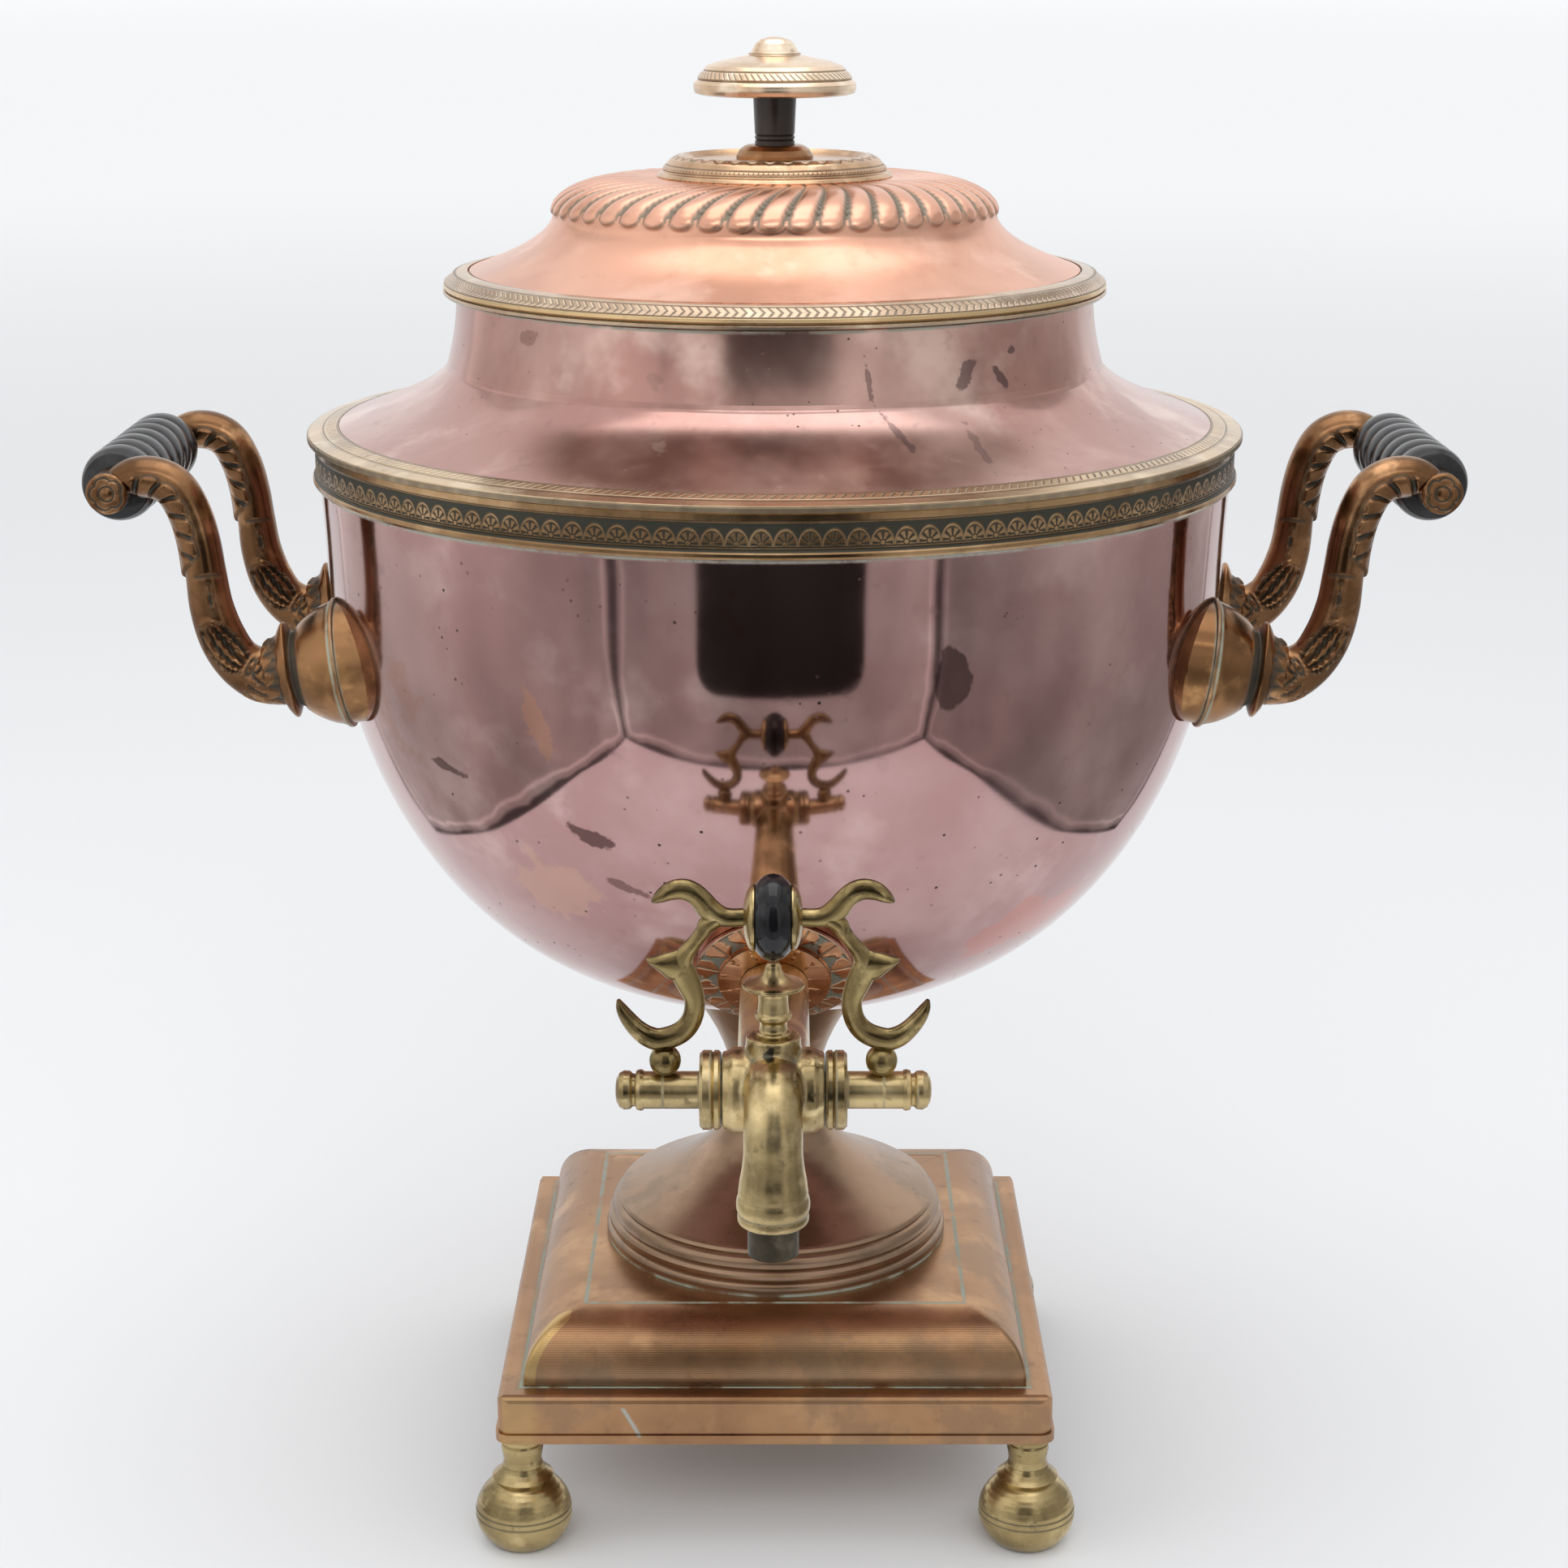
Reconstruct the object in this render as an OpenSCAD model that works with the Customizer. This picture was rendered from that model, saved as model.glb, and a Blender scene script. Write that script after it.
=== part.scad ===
// Regency copper tea urn, built up from its separate pieces.
// Millimetres. +Z is up, the urn stands on z = 0 and its axis is the Z axis.
// The tap faces -Y, and the two handles are on +X and -X.

/* [Base] */
// Height of a ball foot from the table to the base plate
foot_h = 34.3; // [28:0.1:42]
// Radius of the ball of a foot
foot_ball_r = 14.1; // [11:0.1:16]
// Radius of the neck of a foot
foot_neck_r = 5.5; // [4.5:0.1:7]
// Distance of each foot's axis from the middle planes
foot_at = 73.6; // [71:0.1:74]
// Radius of the flat under each foot
foot_flat_r = 6.5; // [4:0.1:8]
// Half the width of the base plate
base_half = 80.9; // [80.7:0.1:84]
// Thickness of the base plate
base_t = 2.7; // [1.5:0.1:3.5]
// Half the width of the lower slab
slab_half = 80.2; // [79.4:0.1:80.6]
// Height of the lower slab
slab_h = 11.7; // [10:0.1:16]
// Height of the ovolo moulding on the slab
ovolo_h = 18.1; // [14:0.1:24]
// Half the width of the ovolo moulding at its foot
ovolo_half = 72.9; // [72:0.1:75]
// Half the width of the plate set into the top of the moulding
panel_half = 55; // [54:0.1:57]
// Thickness of the plate set into the moulding
panel_t = 2.5; // [2:0.1:3]
// Wall of the plinth's sheet
plinth_wall = 2; // [1.5:0.1:2.2]

/* [Pedestal] */
// Height of the pedestal from the plinth to the bowl
pedestal_h = 84.4; // [70:0.1:100]
// Radius of the pedestal's lowest ring
socle_r = 52.3; // [50:0.1:53.9]
// Height of the stepped rings at the pedestal's foot
socle_h = 13.4; // [10:0.1:16]
// Radius of the pedestal's waist
waist_r = 13.4; // [12:0.1:18]
// Radius of the pedestal's head under the bowl
head_r = 30; // [27:0.1:30.5]
// Wall of the pedestal
pedestal_wall = 3; // [2:0.1:4]
// Radius of the bolt that holds bowl, pedestal and plinth together
bolt_r = 4; // [3:0.1:5]

/* [Bowl] */
// Widest radius of the bowl
bowl_r = 129.2; // [125:0.1:134]
// Height of the widest place above the bowl's underside
belly_h = 127.9; // [120:0.1:135]
// Height of the bowl from its underside to the flange
bowl_h = 165.2; // [160:0.1:175]
// Radius of the flat under the bowl
floor_r = 31; // [31:0.1:34]
// Distance of the bowl's straight collar outside its widest radius
collar_out = 1.2; // [0.8:0.1:3]
// Thickness of the copper
wall = 1.5; // [1.2:0.1:2]
// Fullness of the bowl's side
side_power = 1.856; // [1.7:0.001:2]
// Fullness of the bowl's underside
under_power = 2.656; // [2.4:0.001:2.8]

/* [Shoulder and rim] */
// Height of the brass band
band_h = 12.1; // [10:0.1:16]
// Thickness of the brass band
band_t = 1; // [0.8:0.1:1.5]
// Overhang of the brass flange outside the collar
flange_out = 3.1; // [2.6:0.1:6]
// Thickness of the flange at its outer edge
flange_t = 1.2; // [1:0.1:2]
// Width of the flange from its outer edge to the shoulder
flange_w = 8.9; // [6:0.1:12]
// Height of the flange's inner edge over its underside
flange_rise = 3.4; // [3:0.1:5]
// Height of the sloping shoulder
shoulder_h = 17; // [12:0.1:24]
// Width of the sloping shoulder
shoulder_w = 31.4; // [27:0.1:36]
// Height of the neck
neck_h = 19; // [14:0.1:26]
// Drawing-in of the neck above the crease
neck_in = 2.9; // [1.5:0.1:4]
// Height of the bronze rim
rim_h = 6.5; // [6:0.1:8]
// Overhang of the bronze rim outside the neck
rim_out = 3.7; // [3:0.1:7]
// Distance of the mouth's edge inside the neck's surface
mouth_in = 5.9; // [5:0.1:8]

/* [Lid] */
// Gap between the lid's bezel and the mouth
lid_gap = 0.5; // [0.3:0.1:1]
// Width of the ledge under the lid's edge
lid_lap = 2; // [1.5:0.1:2.4]
// Height of the lid over its seat
lid_h = 26.2; // [20:0.1:32]
// Width of the lid's hollow flare
lid_flare_w = 23.8; // [18:0.1:30]
// Thickness of the lid's copper
lid_wall = 1.2; // [1:0.1:1.6]
// Depth of the bezel inside the mouth
bezel_h = 11.4; // [8:0.1:14]
// Radius of the collar on the lid
lid_collar_r = 33.2; // [30:0.1:34]
// Height of the collar on the lid
lid_collar_h = 6.2; // [5.5:0.1:8]
// Height of the foot washer under the knob's stem
washer_h = 3.9; // [3:0.1:5]
// Radius of the foot washer
washer_r = 10.8; // [9.5:0.1:13]
// Length of the dark stem
stem_h = 13.7; // [9:0.1:18]
// Radius of the stem
stem_r = 5.6; // [5:0.1:7]
// Radius of the knob
knob_r = 22.8; // [19:0.1:26]
// Height of the knob
knob_h = 15.8; // [14:0.1:20]
// Radius of the rod through the stem
rod_r = 2.4; // [2:0.1:2.5]

/* [Handles] */
// Distance of each arm's middle from the plane between them
arm_y = 41; // [40:0.1:44]
// Thickness of an arm
arm_t = 12; // [10:0.1:13]
// Distance of the grips outside the cups' flanges
arm_reach = 62.5; // [58:0.5:68]
// Height of the grips above the cups' middle
grip_up = 48.8; // [47:0.1:50]
// Radius of a grip
grip_r = 10.6; // [9:0.1:12]
// Number of ribs on a grip
grip_ribs = 9; // [7:1:12]
// Radius of the rods through the grips
grip_rod_r = 2.1; // [1.8:0.1:2.4]
// Height of the cups' middle above the bowl's underside
cup_up = 105.4; // [103:0.1:109]
// Distance of the cups' flanges outside the copper, at their middle
cup_stand = 0.4; // [0.2:0.1:1]
// Radius of a cup's flange
cup_r = 18.3; // [16:0.1:20]
// Radius of a cup where it meets the arm
cup_end_r = 12.1; // [11:0.1:13]
// Length of a cup outside its flange
cup_len = 11.4; // [9:0.1:13]
// Droop of the cups below the level, in degrees
cup_droop = 8; // [5:0.5:9]
// Radius of the studs that hold the handles
stud_r = 2.4; // [2:0.1:2.8]

/* [Tap] */
// Distance of the tap's axle outside the copper behind it
tap_reach = 81.5; // [78:0.5:88]
// Height of the tap's axle above the bowl's underside
tap_up = 29.6; // [29:0.1:31]
// Radius of the tail pipe
tail_r = 9.2; // [8.5:0.1:9.6]
// Radius of the water way in the tail
tail_bore_r = 5.5; // [4:0.1:6]
// Radius of the barrel
barrel_r = 10.6; // [10.2:0.1:12]
// Half the length of the barrel with its end rings
barrel_half = 12.6; // [12:0.1:15]
// Radius of the plug in the middle of the barrel
plug_r = 6; // [5.4:0.1:6.4]
// Half the difference of the plug's end radii
plug_taper = 0.4; // [0.2:0.1:0.6]
// Clearance between plug and barrel
plug_gap = 0.05; // [0.03:0.01:0.09]
// Radius of the plug's port
port_r = 3.2; // [2.5:0.1:3.6]
// Radius of the hub discs
hub_r = 9.75; // [9:0.05:10.5]
// Width of a hub disc
hub_w = 5.2; // [4:0.1:6]
// Radius of the axle beside the hubs
axle_r = 4.6; // [4:0.1:4.8]
// Distance of the axle's ends from the middle
axle_half = 31.8; // [31:0.1:34]
// Distance of the spout in front of the axle
spout_out = 18.5; // [17.5:0.1:20]
// Radius of the spout
spout_r = 7.2; // [6.8:0.1:7.8]
// Drop of the spout's mouth below the axle
spout_drop = 26.8; // [25:0.1:30]
// Radius of the nozzle
nozzle_r = 6.2; // [5.8:0.1:6.5]
// Radius of the water way in the spout
spout_bore_r = 4.2; // [3.8:0.1:4.6]
// Radius of the bore in the nozzle
nozzle_bore_r = 3.6; // [3:0.1:4.2]
// Length of the nozzle below the spout's mouth
nozzle_h = 7.9; // [5:0.1:12]
// Radius of the plain ring around the tail
ring_r = 15.1; // [13.5:0.1:16.5]
// Radius of the rosette plate around the tail
rosette_r = 21.8; // [19:0.1:24]

/* [Lever] */
// Distance of the bead from the axle
lever_len = 47.2; // [46.5:0.1:50]
// Forward lean of the closed lever, in degrees
lever_lean = 8; // [4:0.5:12]
// Radius of the ebony bead
bead_r = 10.4; // [9.5:0.1:11]
// Half the length of the bead
bead_half = 5.2; // [4.5:0.1:6]
// Thickness of the scroll castings
lyre_t = 4.4; // [3.5:0.1:5]
// Radius of the solder balls under the scrolls
ball_r = 3.9; // [3.5:0.1:4.2]

/* [Heater] */
// Radius of the sleeve for the heating iron
sleeve_r = 29; // [26:0.5:30]
// Length of the sleeve
sleeve_h = 180; // [160:5:190]
// Radius of the heating iron
iron_r = 24; // [20:0.5:24.5]
// Length of the heating iron
iron_h = 120; // [100:5:130]

/* [Hidden] */
$fn = 72;
// clearance between curved pieces that are soldered together
skin = 0.05;

// heights of the joints in the stack
z_base = foot_h;
z_slab = z_base + base_t;
z_ovolo = z_slab + slab_h;
z_panel = z_ovolo + ovolo_h;
z_floor = z_panel + pedestal_h;
z_flange = z_floor + bowl_h;
z_shoulder = z_flange + flange_rise;
z_crease = z_shoulder + shoulder_h;
z_rim = z_crease + neck_h;
z_seat = z_rim + rim_h - 1.1;
z_lid = z_seat + lid_h;
z_washer = z_lid + lid_collar_h - 1.2;
z_stem = z_washer + washer_h;
z_knob = z_stem + stem_h;
z_inner = z_floor + wall;
z_tap = z_floor + tap_up;
z_cup = z_floor + cup_up;

// radii of the stack, each one set from the radius below it
collar_r = bowl_r + collar_out;
flange_r = collar_r + flange_out;
shoulder_r = flange_r - flange_w;
crease_r = shoulder_r - shoulder_w;
neck_r = crease_r - neck_in;
rim_r = neck_r + rim_out;
mouth_r = neck_r - mouth_in;
lid_r = mouth_r + lid_lap;
lid_shoulder_r = lid_r - lid_flare_w;

// colours
copper = [0.50, 0.33, 0.30];
bright_copper = [0.83, 0.56, 0.44];
red_copper = [0.58, 0.36, 0.27];
brass = [0.66, 0.55, 0.34];
old_brass = [0.55, 0.45, 0.27];
bronze = [0.47, 0.34, 0.22];
ebony = [0.10, 0.10, 0.11];
iron = [0.25, 0.24, 0.23];

// ---- lines and their parallels ----

// unit vector at right angles to the way from a to b, on its right
function side(a, b) = let (d = b - a) [d[1], -d[0]] / norm(d);

// a line moved sideways by off, with its corners kept sharp
function shifted(p, off, first, last) = [for (i = [0:len(p) - 1])
    let (n1 = i == 0 ? first : side(p[i - 1], p[i]),
         n2 = i == len(p) - 1 ? last : side(p[i], p[i + 1]))
    p[i] + off * (n1 + n2) / (1 + n1 * n2)];

function backwards(p) = [for (i = [len(p) - 1:-1:0]) p[i]];

// smooth curve through a list of vectors, with n steps between them
function spline(p, n) = concat([for (i = [0:len(p) - 2], j = [0:n - 1])
    let (a = p[max(i - 1, 0)], b = p[i], c = p[i + 1], d = p[min(i + 2, len(p) - 1)], t = j / n)
    0.5 * (2 * b + t * (c - a) + t * t * (2 * a - 5 * b + 4 * c - d)
        + t * t * t * (3 * b - a - 3 * c + d))], [p[len(p) - 1]]);

module turned(p) {
    rotate_extrude() polygon(p);
}

// cylinder along +X, -Y or a drooping line from the middle of a cup
module along_x(r, x0, x1) {
    translate([x0, 0, 0]) rotate([0, 90, 0]) cylinder(r = r, h = x1 - x0);
}

module along_y(r, y0, y1) {
    translate([0, y0, 0]) rotate([-90, 0, 0]) cylinder(r = r, h = y1 - y0);
}

module hexagon(r, h, bore) {
    difference() {
        cylinder(r = r, h = h, $fn = 6);
        translate([0, 0, -1]) cylinder(r = bore, h = h + 2);
    }
}

// ---- the bowl's curve ----

floor_share = pow(1 - pow(floor_r / bowl_r, under_power), 1 / side_power);
bowl_span = belly_h / floor_share;
function bowl_at(s) = bowl_r * pow(1 - pow(s, side_power), 1 / under_power);
bowl_curve = concat(
    [for (i = [0:26]) let (s = floor_share * (1 - pow(i / 26, 1.7)))
        [bowl_at(s), z_floor + belly_h - bowl_span * s]],
    [[bowl_r + 0.75 * (collar_r - bowl_r), z_flange - band_h - 5],
     [collar_r, z_flange - band_h - 1],
     [collar_r, z_flange]]);
// the bowl's surface moved outwards by off
function bowl_line(off) = shifted(bowl_curve, off, [0, -1], [1, 0]);

module bowl_solid(off) {
    line = bowl_line(off);
    rotate_extrude($fn = 180) polygon(concat([[0, line[0][1]]], line, [[0, z_flange]]));
}

// drooping lines through the cups, one on each side, front and back
cup_x = sqrt(pow(bowl_at((belly_h - cup_up) / bowl_span), 2) - pow(arm_y, 2)) + cup_stand;
grip_x = cup_x + arm_reach;

module at_cups() {
    for (sx = [-1, 1], sy = [-1, 1]) at_cup(sx, sy) children();
}

module at_cup(sx, sy) {
    translate([sx * cup_x, sy * arm_y, z_cup])
        rotate([0, sx * (90 + cup_droop), 0]) children();
}

module bowl() {
    outer = bowl_line(0);
    inner = bowl_line(-wall);
    color(copper) difference() {
        turned(concat([[0, z_floor]], outer, backwards(inner), [[0, z_inner]]));
        translate([0, 0, z_floor - 2]) cylinder(r = bolt_r + 0.2, h = 8);
        translate([0, 0, z_tap]) along_y(tail_r + 0.1, -bowl_r, -50);
        at_cups() translate([0, 0, -22]) cylinder(r = stud_r + 0.2, h = 30);
    }
}

// ---- band, flange, shoulder and rim ----

module band() {
    r = collar_r + skin;
    color(brass) translate([0, 0, z_flange - band_h]) turned([[r, 0], [r + band_t + 0.3, 0],
        [r + band_t + 0.8, 0.7], [r + band_t + 0.8, 1.5], [r + band_t + 0.3, 2.2],
        [r + band_t, 2.5], [r + band_t, band_h - 2.6], [r + band_t + 0.4, band_h - 2.2],
        [r + band_t + 0.4, band_h - 0.6], [r + band_t, band_h], [r, band_h]]);
}

module flange() {
    color(brass) translate([0, 0, z_flange]) turned([[shoulder_r - 7, 0], [flange_r, 0],
        [flange_r, flange_t], [flange_r - 0.4, flange_t + 0.4], [shoulder_r, flange_rise],
        [shoulder_r, flange_rise - 1.2], [shoulder_r - 7, flange_rise - 1.2]]);
}

module shoulder() {
    outer = [for (i = [0:10]) let (v = i / 10)
        [crease_r + (shoulder_r - 0.2 - crease_r) * pow(1 - v, 1.7), z_shoulder + shoulder_h * v]];
    inner = shifted(outer, -1.3, [0.3, 0.95], [1, 0]);
    color(copper) turned(concat([[shoulder_r - 0.2, z_shoulder - 1.2]], outer,
        [[crease_r - 1.4, z_crease]], backwards([for (i = [2:8]) inner[i]]),
        [[shoulder_r - 5.5, z_shoulder - 1.2]]));
}

module neck() {
    outer = [for (i = [0:6]) let (v = i / 6)
        [neck_r + (crease_r - neck_r) * pow(1 - v, 2), z_crease + neck_h * v]];
    color(copper) turned(concat(outer, backwards([for (q = outer) [q[0] - 1.3, q[1]]])));
}

module rim() {
    color(bronze) translate([0, 0, z_rim]) turned([[mouth_r, 0], [rim_r - 0.6, 0],
        [rim_r, 0.5], [rim_r, 1.2], [rim_r - 0.5, 1.6], [rim_r - 0.1, 2.2],
        [rim_r - 0.4, 3.6], [rim_r - 1.4, 4.1], [rim_r - 2.8, 5.7], [rim_r - 5, rim_h - 0.2],
        [lid_r + 0.6, rim_h], [lid_r + 0.4, rim_h - 1.1], [mouth_r, rim_h - 1.1]]);
}

// ---- lid and its knob ----

flare_h = lid_h - 9.4;
lid_curve = concat(
    [for (i = [0:12]) let (v = i / 12)
        [lid_shoulder_r + (lid_r - lid_shoulder_r) * pow(1 - v, 1.9), z_seat + 1 + (flare_h - 1) * v]],
    [for (i = [1:10]) let (a = 9 * i)
        [34 + (lid_shoulder_r - 34) * pow(max(cos(a), 0), 0.75),
            z_seat + flare_h + (lid_h - flare_h) * sin(a)]]);

module lid() {
    inner = shifted(lid_curve, -lid_wall, [1, 0], [0, 1]);
    bezel = mouth_r - lid_gap;
    color(bright_copper) turned(concat([[lid_r, z_seat]], lid_curve,
        [[3.2, z_lid], [3.2, z_lid - lid_wall]],
        backwards([for (i = [2:len(inner) - 1]) inner[i]]),
        [[bezel - 1.2, z_seat + 1.4], [bezel - 1.2, z_seat - bezel_h],
         [bezel, z_seat - bezel_h], [bezel, z_seat]]));
}

module lid_collar() {
    r = lid_collar_r;
    h = lid_collar_h;
    color(brass) translate([0, 0, z_lid]) turned([[3.2, 0], [r - 0.2, 0], [r, 0.6],
        [r - 0.6, 1.4], [r - 1.6, 1.8], [r - 1.8, 3], [r - 2.6, 3.8], [r - 3.6, h - 1.2],
        [r - 5.4, h - 0.2], [r - 7.2, h], [r - 8, h - 0.6], [r - 8.6, h - 1.2], [3.2, h - 1.2]]);
}

module stem_washer() {
    h = washer_h;
    color(bronze) translate([0, 0, z_washer]) turned([[2.6, 0], [washer_r, 0], [washer_r, 1],
        [washer_r - 0.9, h - 1.3], [washer_r - 2.3, h - 0.3], [washer_r - 3.2, h], [2.6, h]]);
}

module knob_stem() {
    r = stem_r;
    color(ebony) translate([0, 0, z_stem]) turned([[2.6, 0], [r, 0], [r, 1.1], [r - 0.4, 1.4],
        [r, 1.7], [r, 2.4], [r - 0.35, 2.7], [r, 3], [r + 0.5, stem_h], [2.6, stem_h]]);
}

module knob() {
    r = knob_r;
    h = knob_h;
    color(brass) translate([0, 0, z_knob]) turned([[rod_r + 0.1, 0], [r - 2.3, 0], [r - 0.4, 0.5],
        [r, 1.6], [r, 3.1], [r - 0.6, 3.8], [r - 1.3, 4.3], [r - 1.1, 4.8], [r - 2.2, 6.2],
        [r - 2.9, 6.7], [r - 2.9, 7], [r - 3.9, 8], [r - 7, 9.1], [10, 10.3], [7.3, 10.9],
        [7.3, 11.4], [6.6, 11.6], [6.2, 12.4], [5.2, h - 1.7], [3.8, h - 0.7], [2, h - 0.2], [0, h],
        [0, 9], [rod_r + 0.1, 9]]);
}

module knob_rod() {
    color(iron) translate([0, 0, z_lid - 8.3]) cylinder(r = rod_r, h = z_knob - z_lid + 8.3 + 8.6);
}

module knob_nut() {
    color(brass) translate([0, 0, z_lid - lid_wall - 4]) hexagon(rod_r + 3.1, 4, rod_r + 0.05);
}

// ---- pedestal and plinth ----

trumpet_h = pedestal_h * 0.58 - socle_h;
pedestal_curve = concat(
    [[socle_r, 0], [socle_r, 0.19 * socle_h], [socle_r - 0.5, 0.26 * socle_h],
     [socle_r - 1.2, 0.29 * socle_h], [socle_r - 0.8, 0.35 * socle_h], [socle_r - 0.8, 0.45 * socle_h],
     [socle_r - 1.5, 0.52 * socle_h], [socle_r - 2.2, 0.55 * socle_h], [socle_r - 1.8, 0.61 * socle_h],
     [socle_r - 2, 0.72 * socle_h], [socle_r - 2.8, 0.81 * socle_h], [socle_r - 3.8, 0.85 * socle_h],
     [socle_r - 3.6, 0.91 * socle_h], [socle_r - 4.2, 0.97 * socle_h]],
    [for (i = [0:11]) let (v = i / 12)
        [waist_r + (socle_r - 4.8 - waist_r) * pow(1 - v, 2.6), socle_h + trumpet_h * v]],
    [for (i = [0:8]) let (v = i / 8)
        [waist_r + (head_r - waist_r) * pow(v, 1.8), socle_h + trumpet_h
            + (pedestal_h - 0.8 - socle_h - trumpet_h) * v]],
    [[head_r, pedestal_h]]);

module pedestal() {
    n = len(pedestal_curve);
    inner = [for (i = [14:n - 4]) [pedestal_curve[i][0] - pedestal_wall, pedestal_curve[i][1]]];
    top = inner[len(inner) - 1];
    color(red_copper) translate([0, 0, z_panel]) turned(concat(
        pedestal_curve, [[bolt_r + 0.3, pedestal_h], [bolt_r + 0.3, top[1]]],
        backwards(inner), [[socle_r - 7, socle_h - 2], [socle_r - 7, 0]]));
}

module centre_bolt() {
    color(iron) {
        translate([0, 0, z_inner]) cylinder(r = bolt_r * 2, h = 5, $fn = 6);
        translate([0, 0, z_panel - panel_t - 9]) cylinder(r = bolt_r, h = z_inner - z_panel + panel_t + 10);
    }
}

module centre_nut() {
    color(iron) translate([0, 0, z_panel - panel_t - 5]) hexagon(bolt_r * 2, 5, bolt_r + 0.05);
}

module plinth_panel() {
    color(red_copper) difference() {
        translate([-panel_half, -panel_half, z_panel - panel_t])
            cube([2 * panel_half, 2 * panel_half, panel_t]);
        translate([0, 0, z_panel - 5]) cylinder(r = bolt_r + 0.3, h = 8);
    }
}

// cross-section of a square moulding with quarter-round sides
function quarter_round(low, high, h) = concat(
    [[low, 0], [low, 0.1 * h]],
    [for (i = [1:10]) let (a = 9 * i) [high + (low - high) * cos(a), 0.1 * h + 0.9 * h * sin(a)]]);

module mitred(p, w) {
    all_round = concat(p, backwards([for (q = p) [-q[0], q[1]]]));
    intersection() {
        translate([0, w, 0]) rotate([90, 0, 0]) linear_extrude(height = 2 * w) polygon(all_round);
        translate([-w, 0, 0]) rotate([90, 0, 90]) linear_extrude(height = 2 * w) polygon(all_round);
    }
}

module plinth_ovolo() {
    w = plinth_wall;
    color(red_copper) translate([0, 0, z_ovolo]) difference() {
        mitred(quarter_round(ovolo_half, panel_half + 0.5, ovolo_h), ovolo_half);
        translate([0, 0, -0.01]) mitred(quarter_round(ovolo_half - w, panel_half - w - 0.5,
            ovolo_h - panel_t - w + 0.01), ovolo_half);
        translate([4 - panel_half, 4 - panel_half, 1])
            cube([2 * panel_half - 8, 2 * panel_half - 8, ovolo_h]);
        translate([-panel_half - 0.1, -panel_half - 0.1, ovolo_h - panel_t])
            cube([2 * panel_half + 0.2, 2 * panel_half + 0.2, panel_t + 1]);
    }
}

// square with rounded corners
module soft_square(half, r) {
    translate([-half, r - half]) square([2 * half, 2 * (half - r)]);
    translate([r - half, -half]) square([2 * (half - r), 2 * half]);
    for (x = [-1, 1], y = [-1, 1]) translate([x * (half - r), y * (half - r)]) circle(r = r);
}

module plinth_slab() {
    in = slab_half - plinth_wall;
    bore = ovolo_half - plinth_wall - 3;
    color(red_copper) translate([0, 0, z_slab]) difference() {
        intersection() {
            linear_extrude(height = slab_h) soft_square(slab_half, 4);
            mitred([[slab_half, 0], [slab_half, slab_h - 2], [slab_half - 0.3, slab_h - 1],
                [slab_half - 1, slab_h - 0.3], [slab_half - 2, slab_h]], slab_half);
        }
        translate([-in, -in, -1]) cube([2 * in, 2 * in, slab_h - 1]);
        translate([-bore, -bore, 0]) cube([2 * bore, 2 * bore, slab_h + 1]);
    }
}

module base_plate() {
    color(red_copper) translate([0, 0, z_base]) difference() {
        linear_extrude(height = base_t) soft_square(base_half, 4.5);
        for (x = [-1, 1], y = [-1, 1]) translate([x * foot_at, y * foot_at, -1])
            cylinder(r = 2.4, h = base_t + 2);
    }
}

module corner_blocks() {
    in = slab_half - plinth_wall - 0.1;
    color(old_brass) for (x = [-1, 1], y = [-1, 1]) difference() {
        translate([x * (in - 7) - 7, y * (in - 7) - 7, z_slab]) cube([14, 14, slab_h - 2.2]);
        translate([x * foot_at, y * foot_at, z_slab - 1]) cylinder(r = 2.25, h = slab_h);
    }
}

module foot(x, y) {
    b = foot_ball_r;
    n = foot_neck_r;
    h = foot_h;
    up = [for (a = [-48:8:56]) [b * cos(a), 0.28 * h + 0.36 * h * sin(a)]];
    color(brass) translate([x * foot_at, y * foot_at, 0]) {
        turned(concat([[0, 0], [foot_flat_r, 0]], up, [[n + 3.4, 0.615 * h], [n + 2.2, 0.645 * h],
            [n + 1.1, 0.68 * h], [n + 0.3, 0.72 * h], [n, 0.77 * h], [n + 0.3, 0.82 * h],
            [n + 0.6, 0.87 * h], [n + 0.5, 0.91 * h], [n + 0.2, 0.925 * h], [n + 0.8, 0.94 * h],
            [n + 0.8, 0.975 * h], [n + 1.2, 0.985 * h], [n + 1.2, h], [0, h]]));
        translate([0, 0, h - 1]) cylinder(r = 2.2, h = base_t + 9);
    }
}

module foot_fl() { foot(-1, -1); }
module foot_fr() { foot(1, -1); }
module foot_bl() { foot(-1, 1); }
module foot_br() { foot(1, 1); }

// ---- handles ----

// domed cup on its own axis, flange plane at 0, arm at cup_len
module cup_shape() {
    r = cup_r;
    e = cup_end_r;
    l = cup_len;
    turned([[0, -16], [r - 1.1, -16], [r - 1.1, -0.6], [r, -0.4], [r, 0.7], [r - 0.8, 1.3],
        [r - 1.7, 0.35 * l], [r - 3.1, 0.61 * l], [0.3 * r + 0.7 * e, 0.82 * l], [e, l], [0, l]]);
}

module cup(sx, sy) {
    color(bright_copper) difference() {
        at_cup(sx, sy) difference() {
            cup_shape();
            translate([0, 0, -30]) cylinder(r = stud_r + 0.2, h = 60);
        }
        bowl_solid(skin);
    }
}

module cup_fl() { cup(-1, -1); }
module cup_fr() { cup(1, -1); }
module cup_bl() { cup(-1, 1); }
module cup_br() { cup(1, 1); }

// way of an arm from its scroll to the cup: [x, z, width, depth] from the cup's middle
arm_in = [cos(cup_droop), -sin(cup_droop)];
arm_end = [cup_x, 0] + (cup_len + skin) * arm_in;
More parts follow.
